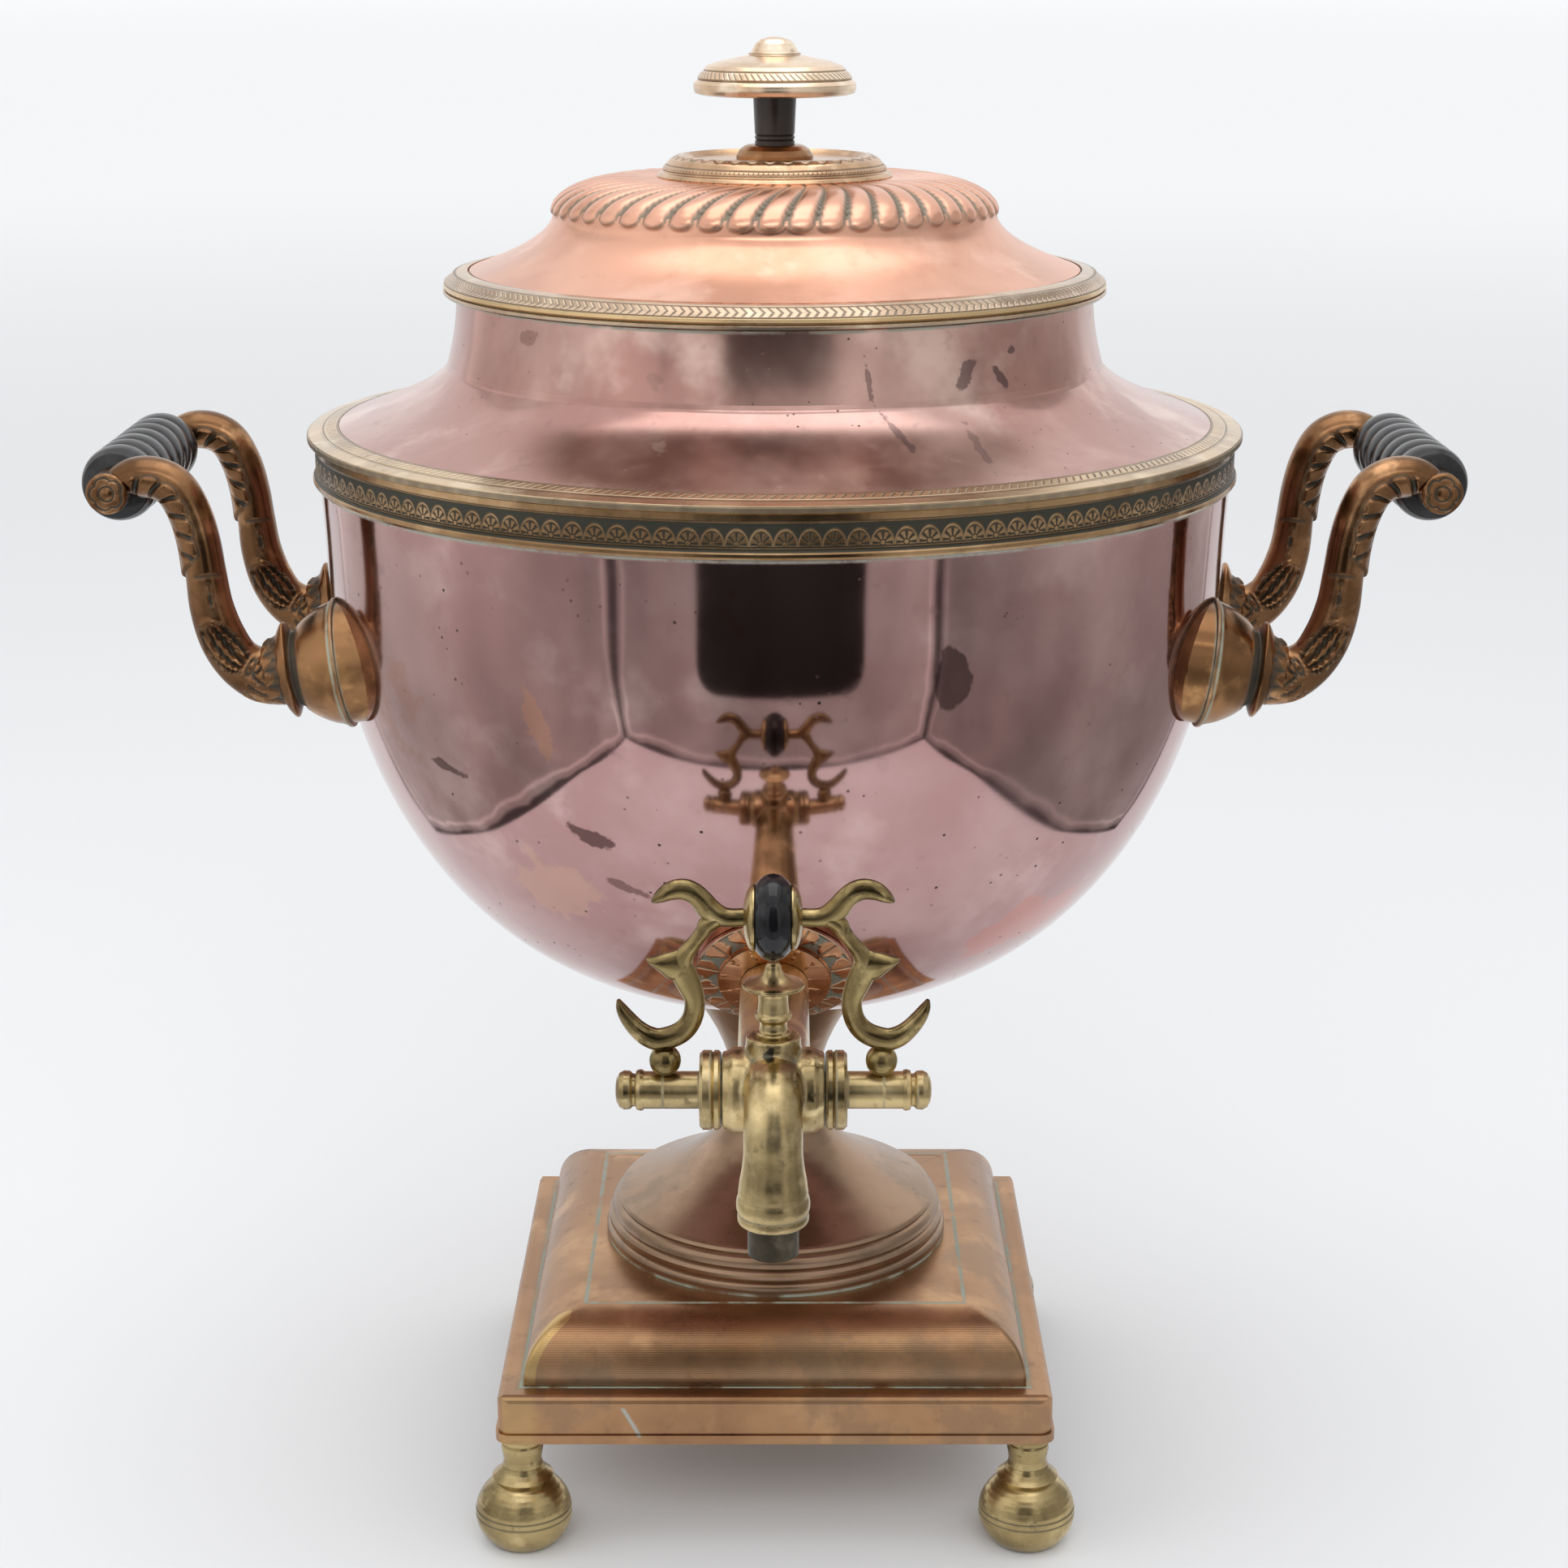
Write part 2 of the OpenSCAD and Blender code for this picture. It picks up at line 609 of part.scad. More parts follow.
// place at a share of the way out to the grip and of the height up to it
function arm_at(out, rise) = [arm_end[0] + out * (grip_x - arm_end[0]), rise * grip_up];
arm_points = [
    [grip_x, grip_up, 7, arm_t - 1],
    [grip_x - 3.4, grip_up + 3, 8.8, arm_t - 1],
    [grip_x - 7.8, grip_up + 4.3, 10.2, arm_t],
    [grip_x - 13.4, grip_up + 3.8, 10.6, arm_t],
    [grip_x - 18.4, grip_up + 0.6, 10.8, arm_t],
    concat(arm_at(0.57, 0.87), [10.9, arm_t]),
    concat(arm_at(0.53, 0.7), [11, arm_t]),
    concat(arm_at(0.51, 0.52), [11.3, arm_t]),
    concat(arm_at(0.49, 0.33), [12.2, arm_t]),
    concat(arm_at(0.44, 0.15), [13.2, arm_t]),
    concat(arm_at(0.36, 0.01), [13.6, arm_t + 0.8]),
    concat(arm_end + 12.4 * arm_in, [16, arm_t + 2.6]),
    concat(arm_end + 6 * arm_in, [21, 18]),
    concat(arm_end + 2.5 * arm_in, [24, 22]),
    concat(arm_end, [2 * cup_end_r + 2.4, 2 * cup_end_r + 1])];
arm_way = spline(arm_points, 2);

// depth to which a stud screws into its arm
stud_grip = 8;

// solid swept along a way of [x, z, width, depth], lying in the plane y = 0
module swept(way) {
    n = 12;
    c = [for (q = way) [q[0], q[1]]];
    last = len(way) - 1;
    points = [for (i = [0:last]) let (s = side(c[max(i - 1, 0)], c[min(i + 1, last)])) for (j = [0:n - 1])
        let (a = 360 * (j + 0.5) / n, u = way[i][2] / 2 * cos(a), v = way[i][3] / 2 * sin(a))
        [c[i][0] + s[0] * u, v, c[i][1] + s[1] * u]];
    faces = concat([[for (j = [0:n - 1]) j]], [[for (j = [n - 1:-1:0]) last * n + j]],
        [for (i = [0:last - 1], j = [0:n - 1]) let (k = (j + 1) % n)
            [i * n + k, i * n + j, (i + 1) * n + j]],
        [for (i = [0:last - 1], j = [0:n - 1]) let (k = (j + 1) % n)
            [i * n + k, (i + 1) * n + j, (i + 1) * n + k]]);
    polyhedron(points = points, faces = faces);
}

module right_arm() {
    difference() {
        union() {
            swept(arm_way);
            translate([grip_x, 0, grip_up]) along_y(5.7, -arm_t / 2 - 0.2, arm_t / 2 + 0.2);
        }
        translate([grip_x, 0, grip_up]) along_y(grip_rod_r + 0.05, -arm_t, arm_t);
        translate([arm_end[0], 0, arm_end[1]]) rotate([0, 90 + cup_droop, 0])
            translate([0, 0, -1]) cylinder(r = stud_r + 0.05, h = stud_grip + 1.5);
    }
}

module arm(sx, sy) {
    color(bronze) translate([0, sy * arm_y, z_cup])
        if (sx > 0) right_arm();
        else mirror([1, 0, 0]) right_arm();
}

module arm_fl() { arm(-1, -1); }
module arm_fr() { arm(1, -1); }
module arm_bl() { arm(-1, 1); }
module arm_br() { arm(1, 1); }

grip_half = arm_y - arm_t / 2 - 0.2;

module at_grip(sx) {
    translate([sx * grip_x, 0, z_cup + grip_up]) rotate([90, 0, 0]) children();
}

module grip(sx) {
    pitch = 2 * (grip_half - 1) / grip_ribs;
    ribs = [for (i = [0:grip_ribs - 1], j = [0:5]) let (t = j / 6)
        [grip_r - 0.9 + 0.9 * pow(sin(180 * t), 0.7), -grip_half + 1 + pitch * (i + t)]];
    bore = grip_rod_r + 0.05;
    color(ebony) at_grip(sx) turned(concat([[bore, -grip_half], [grip_r - 1.4, -grip_half]], ribs,
        [[grip_r - 0.9, grip_half - 1], [grip_r - 1.4, grip_half], [bore, grip_half]]));
}

module grip_left() { grip(-1); }
module grip_right() { grip(1); }

module grip_rod(sx) {
    e = arm_y + arm_t / 2 + 0.2;
    r = grip_rod_r;
    head = r + 2.5;
    color(old_brass) at_grip(sx) turned([[0, -e - 1.3], [head - 1.2, -e - 1.3], [head, -e - 0.7],
        [head, -e], [r, -e], [r, e], [head, e], [head, e + 0.7], [head - 1.2, e + 1.3], [0, e + 1.3]]);
}

module grip_rod_left() { grip_rod(-1); }
module grip_rod_right() { grip_rod(1); }

module handle_studs() {
    color(old_brass) at_cups() translate([0, 0, -16]) cylinder(r = stud_r, h = 16 + cup_len + stud_grip);
}

module handle_pads() {
    color(old_brass) intersection() {
        bowl_solid(-wall - skin);
        at_cups() translate([0, 0, -9]) difference() {
            cylinder(r = stud_r + 5.6, h = 30);
            translate([0, 0, -1]) cylinder(r = stud_r + 0.2, h = 40);
        }
    }
}

module handle_nuts() {
    color(old_brass) at_cups() translate([0, 0, -13]) hexagon(stud_r + 2.6, 4, stud_r + 0.05);
}

// ---- tap ----

// the tap's axle, the saddle pad behind its tail and the end of the tail
tap_out = bowl_at((belly_h - tap_up) / bowl_span) + tap_reach;
pad_r = tail_r + 3.8;
pad_y = bowl_at((belly_h - tap_up + pad_r) / bowl_span) - wall - 3.6;
tail_nut_h = 6;
tail_end = pad_y - tail_nut_h - 3;

module at_tap() {
    translate([0, -tap_out, z_tap]) children();
}

module rosette() {
    color(red_copper) difference() {
        union() {
            intersection() {
                bowl_solid(2);
                translate([0, 0, z_tap]) along_y(rosette_r, -bowl_r, -40);
            }
            intersection() {
                bowl_solid(4.4);
                translate([0, 0, z_tap]) along_y(ring_r, -bowl_r, -40);
            }
        }
        bowl_solid(skin);
        translate([0, 0, z_tap]) along_y(tail_r + 0.1, -bowl_r - 5, -30);
    }
}

boss_r = 6.8;
boss_top = 14.6;
mouth_z = -spout_drop;
bend_r = 12.5;
bend_y = -spout_out;
bend_z = 4 - bend_r;

module tap_body() {
    color(brass) at_tap() difference() {
        union() {
            // tail pipe with a wider end at the barrel
            along_y(tail_r, 0, tap_out - tail_end);
            along_x(barrel_r, -barrel_half + 2.1, barrel_half - 2.1);
            along_x(hub_r - 0.15, -barrel_half, barrel_half);
            translate([0, 0, boss_top - 8]) cylinder(r = boss_r, h = 8);
            // spout: bend, widening neck and mouth rings
            translate([0, bend_y + bend_r, bend_z]) rotate([90, 0, 90]) rotate([0, 0, 90])
                rotate_extrude(angle = 90) translate([bend_r, 0]) circle(r = spout_r);
            translate([0, bend_y, mouth_z]) turned([[0, 0], [spout_r + 0.9, 0],
                [spout_r + 1.5, 0.7], [spout_r + 1.5, 2.2], [spout_r + 1, 2.8], [spout_r + 1.7, 3.5],
                [spout_r + 1.8, 5], [spout_r + 1.6, 6.6], [spout_r + 0.9, 7.2], [spout_r + 1.4, 7.8],
                [spout_r + 1.3, 8.7], [spout_r + 0.8, 9.2], [spout_r + 1.2, 9.8], [spout_r + 1, 10.8],
                [spout_r + 0.4, 14], [spout_r, bend_z - mouth_z], [0, bend_z - mouth_z]]);
        }
        rotate([0, 90, 0]) translate([0, 0, -barrel_half - 1]) cylinder(
            r1 = plug_r + plug_gap + plug_taper * (1 + 1 / barrel_half),
            r2 = plug_r + plug_gap - plug_taper * (1 + 1 / barrel_half), h = 2 * barrel_half + 2);
        along_y(tail_bore_r, 3, tap_out);
        along_y(port_r + 0.2, bend_y, 0);
        translate([0, bend_y, mouth_z - 1]) cylinder(r = spout_bore_r, h = 1 - mouth_z);
        translate([0, bend_y, mouth_z - 1]) cylinder(r = nozzle_r - 0.9, h = 7);
        translate([0, 0, boss_top - 4.2]) cylinder(r = 2.05, h = 10);
    }
}

module nozzle() {
    color(iron) at_tap() translate([0, bend_y, mouth_z]) difference() {
        union() {
            translate([0, 0, -nozzle_h]) cylinder(r = nozzle_r, h = nozzle_h);
            cylinder(r = nozzle_r - 1, h = 5.9);
        }
        translate([0, 0, -nozzle_h - 1]) cylinder(r = nozzle_bore_r, h = 30);
    }
}

module tap_finial() {
    color(old_brass) at_tap() {
        translate([0, 0, boss_top]) turned([[0, 0], [3.9, 0], [3.9, 0.5], [3.5, 0.9], [3.8, 1.5],
            [3.8, 3.5], [3.4, 3.9], [3.8, 4.4], [3.8, 5.8], [3.4, 6.2], [3.9, 6.7], [3.9, 7.8],
            [3.5, 8.2], [4.2, 9], [4.2, 11.4], [5, 12], [7.2, 12.4], [7.6, 12.9], [7.2, 13.4],
            [4.8, 14.2], [2.8, 15.6], [1.6, 17.2], [0, 18.4]]);
        translate([0, 0, boss_top - 4]) cylinder(r = 2, h = 5);
    }
}

module tail_pad() {
    color(old_brass) difference() {
        intersection() {
            bowl_solid(-wall - skin);
            translate([0, 0, z_tap]) along_y(pad_r, -bowl_r, -pad_y);
        }
        translate([0, 0, z_tap]) along_y(tail_r + 0.1, -bowl_r, 0);
    }
}

module tail_nut() {
    color(old_brass) translate([0, -pad_y, z_tap]) rotate([-90, 0, 0])
        hexagon(pad_r + 1, tail_nut_h, tail_r + 0.05);
}

// ---- plug and lever ----

module plug() {
    h = barrel_half;
    w = h + hub_w + 0.2;
    color(brass) at_tap() difference() {
        rotate([0, 90, 0]) turned([[0, -axle_half], [axle_r, -axle_half], [axle_r, -w],
            [hub_r - 0.8, -w], [hub_r, -w + 0.8], [hub_r, -h - 2.6], [hub_r - 0.5, -h - 2.2],
            [hub_r, -h - 1.8], [hub_r, -h - 0.8], [hub_r - 0.6, -h - 0.2],
            [plug_r + plug_taper, -h - 0.2], [plug_r + plug_taper, -h], [plug_r - plug_taper, h],
            [axle_r, h], [axle_r, axle_half], [0, axle_half]]);
        translate([0, 0, -20]) cylinder(r = port_r, h = 40);
        along_x(2.05, axle_half - 6, axle_half + 1);
        along_x(2.05, -axle_half - 1, -axle_half + 6);
    }
}

module plug_cap() {
    h = barrel_half;
    w = h + hub_w + 0.2;
    color(brass) at_tap() rotate([0, 90, 0]) turned([[axle_r + 0.02, h + 0.2], [hub_r - 0.6, h + 0.2],
        [hub_r, h + 0.8], [hub_r, h + 1.8], [hub_r - 0.5, h + 2.2], [hub_r, h + 2.6],
        [hub_r, w - 0.8], [hub_r - 0.8, w], [axle_r + 0.02, w]]);
}

module button() {
    r = axle_r;
    rotate([0, 90, 0]) turned([[0, -5], [1.95, -5], [1.95, 0], [r + 0.3, 0], [r + 0.5, 0.8], [r + 0.2, 1.7],
        [r - 0.6, 2.1], [r - 0.5, 2.7], [r + 0.1, 3.3], [r + 0.2, 4.8], [r - 0.4, 5.9],
        [r - 1.6, 6.6], [r - 3, 6.9], [0, 7]]);
}

module button_right() {
    color(brass) at_tap() translate([axle_half, 0, 0]) button();
}

module button_left() {
    color(brass) at_tap() mirror([1, 0, 0]) translate([axle_half, 0, 0]) button();
}

// the rounded scroll castings stand in the lever's leaning plane: [x, height, width]
ferrule_x = bead_half + 1.9;
up = lever_len - 47.2;
down = axle_r + 2 * ball_r - 12.4;
hook_way = spline([[ferrule_x - 1.6, 47.3 + up, 4.4], [10.4, 47.1 + up, 4.6], [13.2, 47.8 + up, 5.4],
    [15.4, 49.5 + up, 5.8], [17.1, 51.9 + up, 5.3], [19.3, 53.9 + up, 5.3], [21.8, 54.7 + up, 5.2],
    [24.4, 54.2 + up, 4.6], [26.4, 53.1 + up, 3.4], [27.9, 52.1 + up, 2.1], [28.8, 51.4 + up, 0.8]], 2);
stem_way = spline([[13.2, 47 + up, 4.2], [15.7, 45.3 + up, 4.4], [17, 43.2 + up, 3.7],
    [18.7, 40.7 + up, 3.5], [20.6, 38.1 + up, 4.2], [21.8, 35.4, 5.2], [21.6, 32.6, 6.2],
    [20.4, 29.4, 6], [19.1, 25.6, 5.1], [19.2, 21.6 + down, 5], [20.5, 18.2 + down, 5.2],
    [23.1, 15.6 + down, 5.6], [27.4, 14.1 + down, 5.8], [30.4, 14.9 + down, 5.4], [33, 17 + down, 4.6],
    [35.3, 20 + down, 3.8], [36.8, 22.8 + down, 2.6], [37.4, 24.8 + down, 1]], 2);
spike_way = spline([[21, 34.2, 7.4], [23.9, 34.4, 7.9], [26.4, 35, 5.4], [28.9, 35.6, 2.4],
    [30.4, 36, 0.6]], 2);

module at_lever() {
    at_tap() rotate([lever_lean, 0, 0]) children();
}

// a way whose ends thin down with their width
function cast_way(way) = [for (q = way) [q[0], q[1], q[2], min(lyre_t, 1.3 * q[2] + 0.4)]];

module lyre() {
    difference() {
        union() {
            swept(cast_way(hook_way));
            swept(cast_way(stem_way));
            swept(cast_way(spike_way));
            translate([26.4, 0, axle_r + ball_r - 0.2]) sphere(r = ball_r);
        }
        along_x(axle_r + 0.03, 10, 45);
        translate([0, 0, lever_len]) along_x(bead_r, 0, ferrule_x);
    }
}

module lyre_right() {
    color(brass) at_lever() lyre();
}

module lyre_left() {
    color(brass) at_lever() mirror([1, 0, 0]) lyre();
}

module bead() {
    r = bead_r;
    h = bead_half;
    color(ebony) at_lever() translate([0, 0, lever_len]) rotate([0, 90, 0]) turned([
        [1.6, -h], [0.85 * r, -h], [0.9 * r, -0.85 * h], [0.95 * r, -0.6 * h], [0.98 * r, -0.35 * h],
        [r, -0.1 * h], [r, 0.1 * h], [0.98 * r, 0.35 * h], [0.95 * r, 0.6 * h], [0.9 * r, 0.85 * h],
        [0.85 * r, h], [1.6, h]]);
}

module ferrule() {
    h = bead_half;
    rotate([0, 90, 0]) turned([[1.6, h], [0.87 * bead_r, h], [0.87 * bead_r, h + 0.5],
        [0.8 * bead_r, h + 1], [0.5 * bead_r, h + 1.4], [3, ferrule_x], [1.6, ferrule_x]]);
}

module ferrule_right() {
    color(brass) at_lever() translate([0, 0, lever_len]) ferrule();
}

module ferrule_left() {
    color(brass) at_lever() translate([0, 0, lever_len]) mirror([1, 0, 0]) ferrule();
}

module bead_pin() {
    color(iron) at_lever() translate([0, 0, lever_len]) along_x(1.5, -ferrule_x, ferrule_x);
}

// ---- heater ----

z_iron = z_inner + 12.2;
z_cover = z_inner + sleeve_h;

module heater_sleeve() {
    r = sleeve_r;
    color(bright_copper) turned([[r - 1, z_inner], [r, z_inner], [r, z_cover], [r - 1, z_cover],
        [r - 1, z_iron], [0, z_iron], [0, z_iron - 1.2], [r - 1, z_iron - 1.2]]);
}

module heating_iron() {
    r = iron_r;
    h = iron_h;
    color(iron) translate([0, 0, z_iron]) {
        turned([[0, 0], [r - 2, 0], [r, 2], [r, h - 3], [r - 3, h], [0, h]]);
        translate([0, 0, h - 1]) cylinder(r = 4, h = 5);
        translate([0, 0, h + 12]) rotate([90, 0, 0]) rotate_extrude() translate([9, 0]) circle(r = 2.5);
    }
}

module sleeve_cover() {
    r = sleeve_r;
    color(bright_copper) translate([0, 0, z_cover]) turned([[0, 0], [r - 2.6, 0], [r - 2.6, -8],
        [r - 1.6, -8], [r - 1.6, 0], [r + 1.5, 0], [r + 1.5, 1.2], [r - 4, 1.6], [0.1 * r, 2.4],
        [0.08 * r, 5], [0.16 * r, 7], [0.17 * r, 9], [0.14 * r, 11], [0, 12]]);
}

bowl();
band();
flange();
shoulder();
neck();
rim();
lid();
lid_collar();
stem_washer();
knob_stem();
knob();
knob_rod();
knob_nut();
pedestal();
centre_bolt();
centre_nut();
plinth_panel();
plinth_ovolo();
plinth_slab();
base_plate();
corner_blocks();
foot_fl();
foot_fr();
foot_bl();
foot_br();
cup_fl();
cup_fr();
cup_bl();
cup_br();
arm_fl();
arm_fr();
arm_bl();
arm_br();
grip_left();
grip_right();
grip_rod_left();
grip_rod_right();
handle_studs();
handle_pads();
handle_nuts();
rosette();
tap_body();
nozzle();
tap_finial();
tail_pad();
tail_nut();
plug();
plug_cap();
button_left();
button_right();
lyre_left();
lyre_right();
bead();
ferrule_left();
ferrule_right();
bead_pin();
heater_sleeve();
heating_iron();
sleeve_cover();
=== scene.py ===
import math

import bmesh
import bpy
from mathutils import Matrix, Vector, noise
from mathutils.bvhtree import BVHTree


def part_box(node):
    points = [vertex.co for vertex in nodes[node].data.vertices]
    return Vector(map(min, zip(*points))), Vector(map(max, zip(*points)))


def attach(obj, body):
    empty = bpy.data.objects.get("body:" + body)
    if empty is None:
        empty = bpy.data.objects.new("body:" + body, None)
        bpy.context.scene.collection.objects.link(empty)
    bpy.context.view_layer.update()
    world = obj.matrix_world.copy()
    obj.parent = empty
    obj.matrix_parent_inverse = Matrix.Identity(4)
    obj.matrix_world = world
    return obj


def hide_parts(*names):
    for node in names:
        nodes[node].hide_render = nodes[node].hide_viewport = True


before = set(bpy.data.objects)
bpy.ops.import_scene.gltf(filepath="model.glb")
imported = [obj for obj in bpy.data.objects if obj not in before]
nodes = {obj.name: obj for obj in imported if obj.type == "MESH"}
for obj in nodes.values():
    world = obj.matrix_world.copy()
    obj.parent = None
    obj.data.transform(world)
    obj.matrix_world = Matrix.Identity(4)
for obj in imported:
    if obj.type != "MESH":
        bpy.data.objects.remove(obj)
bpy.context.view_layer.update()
scene = bpy.context.scene
mm = 0.001
corners = {"fl": (-1, -1), "fr": (1, -1), "bl": (-1, 1), "br": (1, 1)}
print("frame loaded")

studio = {
    "cameraAt": (0.0026, -0.852, 0.4528), "cameraPitch": 74.05, "lens": 68.16, "sensor": 36,
    "sky": (0.985, 0.99, 1.0), "skyPower": 1.06,
    # floor tones by distance from the urn are painted light: darker near the urn, lighter further off
    "floorSize": 160, "floorRough": 0.9, "floorNear": (0.70, 0.71, 0.72), "floorFar": (0.86, 0.87, 0.88),
    "floorEdge": (1.0, 1.0, 1.0), "farFrom": 1.2, "farTo": 5.0, "edgeFrom": 8.0, "edgeTo": 45.0,
    "lights": {
        "overhead": {"power": 3.8, "size": (1.0, 1.0), "at": (0, 0.05, 1.4), "aim": (0, 0, 0.2)},
        "frontBox": {"power": 4.2, "size": (1.0, 0.5), "at": (0.05, -1.05, 0.95), "aim": (0, 0, 0.18)},
        "leftBox": {"power": 2.2, "size": (0.7, 1.0), "at": (-1.3, -0.5, 0.8), "aim": (0, 0, 0.25)},
    },
}

scene.view_settings.view_transform = "Standard"
cameraData = bpy.data.cameras.new("camera")
cameraData.lens = studio["lens"]
cameraData.sensor_width = studio["sensor"]
camera = bpy.data.objects.new("camera", cameraData)
camera.location = studio["cameraAt"]
camera.rotation_euler = (math.radians(studio["cameraPitch"]), 0, 0)
scene.collection.objects.link(camera)
scene.camera = camera

world = bpy.data.worlds.new("tent")
world.use_nodes = True
world.node_tree.nodes["Background"].inputs["Color"].default_value = (*studio["sky"], 1)
world.node_tree.nodes["Background"].inputs["Strength"].default_value = studio["skyPower"]
scene.world = world


# a value that runs through a material's nodes: a sum or product of such values adds the node that works it out
class Flow:
    def __init__(self, socket):
        self.socket = socket

    def __add__(self, other):
        return calc("ADD", self, other)

    def __sub__(self, other):
        return calc("SUBTRACT", self, other)

    def __rsub__(self, other):
        return calc("SUBTRACT", other, self)

    def __mul__(self, other):
        return calc("MULTIPLY", self, other)

    def __truediv__(self, other):
        return calc("DIVIDE", self, other)

    def __abs__(self):
        return calc("ABSOLUTE", self)


def feed(node, inputs):
    for key, value in inputs.items():
        if isinstance(value, Flow):
            node.id_data.links.new(value.socket, node.inputs[key])
        else:
            node.inputs[key].default_value = value


def put(tree, kind, out, inputs=(), **settings):
    node = tree.nodes.new("ShaderNode" + kind)
    for key, value in settings.items():
        setattr(node, key, value)
    feed(node, dict(inputs))
    return Flow(node.outputs[out])


def treeOf(*values):
    return next(value.socket.id_data for value in values if isinstance(value, Flow))


def calc(operation, *values):
    return put(treeOf(*values), "Math", 0, enumerate(values), operation=operation)


def larger(first, *others):
    for other in others:
        first = calc("MAXIMUM", first, other)
    return first


def distance(a, b):
    return calc("SQRT", a * a + b * b)


def lengthOf(vector):
    return put(treeOf(vector), "VectorMath", "Value", {0: vector}, operation="LENGTH")


def span(value, low, high, outLow=0.0, outHigh=1.0):
    return put(treeOf(value), "MapRange", 0, {"Value": value, "From Min": low, "From Max": high,
               "To Min": outLow, "To Max": outHigh}, interpolation_type="SMOOTHSTEP")


def nearness(value, at, width):
    return span(abs(value - at), 0.0, width, 1.0, 0.0)


def within(value, low, high, soft):
    return span(value, low - soft, low) * span(value, high, high + soft, 1.0, 0.0)


def blendTone(share, a, b):
    a, b = (tone if isinstance(tone, Flow) else (*tone, 1) for tone in (a, b))
    return put(treeOf(share, a, b), "Mix", 2, {0: share, 6: a, 7: b}, data_type="RGBA")


def cloud(place, scale, detail=4.0, rough=0.55, stretch=None):
    if stretch:
        place = put(treeOf(place), "Mapping", 0, {"Vector": place, "Scale": stretch})
    return put(treeOf(place), "TexNoise", "Fac", {"Vector": place, "Scale": scale, "Detail": detail,
               "Roughness": rough})


def newFinish(name):
    material = bpy.data.materials.new(name)
    material.use_nodes = True
    return material, material.node_tree, put(material.node_tree, "TexCoord", "Object")


def splitUp(place):
    first = put(treeOf(place), "SeparateXYZ", 0, {0: place})
    return [Flow(socket) for socket in first.socket.node.outputs]


def stageCard(name, size, middle, turn, material, seen=True):
    bm = bmesh.new()
    bmesh.ops.create_grid(bm, x_segments=1, y_segments=1, size=0.5)
    bmesh.ops.scale(bm, vec=(*size, 1), verts=bm.verts)
    mesh = bpy.data.meshes.new(name)
    bm.to_mesh(mesh)
    bm.free()
    mesh.materials.append(material)
    card = bpy.data.objects.new(name, mesh)
    card.location = middle
    card.rotation_euler = [math.radians(t) for t in turn]
    card.visible_camera = card.visible_shadow = card.visible_diffuse = seen
    scene.collection.objects.link(card)


# painted light: the floor is darker near the urn and lighter further off, up to white far away, for how the studio's
# light falls on it
def floorFinish():
    material, tree, place = newFinish("floor")
    far = lengthOf(place)
    tone = blendTone(span(far, studio["farFrom"], studio["farTo"]), studio["floorNear"], studio["floorFar"])
    tone = blendTone(span(far, studio["edgeFrom"], studio["edgeTo"]), tone, studio["floorEdge"])
    feed(tree.nodes["Principled BSDF"], {"Base Color": tone, "Roughness": studio["floorRough"]})
    return material


# the light tent, seen only in the metal: cloth walls with a seam along their edges, and a door in the front one
tent = {
    "half": 0.31, "front": -0.435, "back": 0.2, "high": 0.62, "glow": (1.0, 0.985, 0.97, 1),
    "seam": 0.0075, "seamDark": 0.82, "waver": 0.009, "foldAt": 3.2, "foldHalf": 0.006, "foldLight": 0.8,
    "patchy": (0.72, 1.3), "lowLight": (-0.12, 0.02, 1.0, 1.7),
    "tones": {"tentFront": 0.46, "tentLeft": 0.52, "tentRight": 0.36},
    "door": {"middle": 0.012, "half": 0.138, "foot": 0.133, "top": 0.44, "corner": 0.035, "edge": (0.032, 0.037),
             "dark": (-0.1, 0.02, 0.95, 0.86)},
}


def tentFinish(name, width, height):
    material, tree, place = newFinish(name)
    x, y, z = splitUp(place)
    tone, door = tent["tones"][name], tent["door"]
    edge = calc("MINIMUM", width / 2 - abs(x), height / 2 - abs(y))
    edge += span(cloud(place, 9, 2), 0.2, 0.8, -tent["waver"], tent["waver"])
    dark = span(edge, tent["seam"], tent["seam"] * 1.8, 1.0, 0.0) * tent["seamDark"]
    fold = nearness(edge, tent["seam"] * tent["foldAt"], tent["foldHalf"]) * tent["foldLight"]
    light = span(cloud(place, 5, 2), 0.25, 0.75, *(tone * share for share in tent["patchy"]))
    light = light * (fold + 1.0) * span(y, *tent["lowLight"])
    if name == "tentFront":
        across = larger(abs(x - door["middle"]) - (door["half"] - door["corner"]), 0.0)
        below = larger(door["foot"] + door["corner"] - height / 2 - y, 0.0)
        above = larger(y - (door["top"] - height / 2), 0.0)
        hole = span(distance(across, below + above), *door["edge"], 1.0, 0.0)
        dark = larger(dark, hole * span(y, *door["dark"]))
    glow = put(tree, "Emission", 0, {"Color": tent["glow"], "Strength": light * (1.0 - dark)})
    feed(tree.nodes["Material Output"], {"Surface": glow})
    return material


def tentWall(name, width, side, along, turn):
    stageCard(name, (width, tent["high"]), (side, along, tent["high"] / 2), (90, 0, turn),
              tentFinish(name, width, tent["high"]), False)


def softBox(name, power, size, at, aim):
    data = bpy.data.lights.new(name, "AREA")
    data.shape = "RECTANGLE"
    data.energy = power
    data.size, data.size_y = size
    light = bpy.data.objects.new(name, data)
    light.location = at
    light.rotation_euler = (Vector(aim) - Vector(at)).to_track_quat("-Z", "Y").to_euler()
    scene.collection.objects.link(light)


stageCard("floor", (studio["floorSize"], studio["floorSize"]), (0, 0, 0), (0, 0, 0), floorFinish())
tentWall("tentFront", 2 * tent["half"], 0, tent["front"], 0)
tentWall("tentLeft", tent["back"] - tent["front"], -tent["half"], (tent["front"] + tent["back"]) / 2, 90)
tentWall("tentRight", tent["back"] - tent["front"], tent["half"], (tent["front"] + tent["back"]) / 2, 90)
for name, light in studio["lights"].items():
    softBox(name, **light)
print("studio ready")


verdigris = (0.33, 0.42, 0.35)

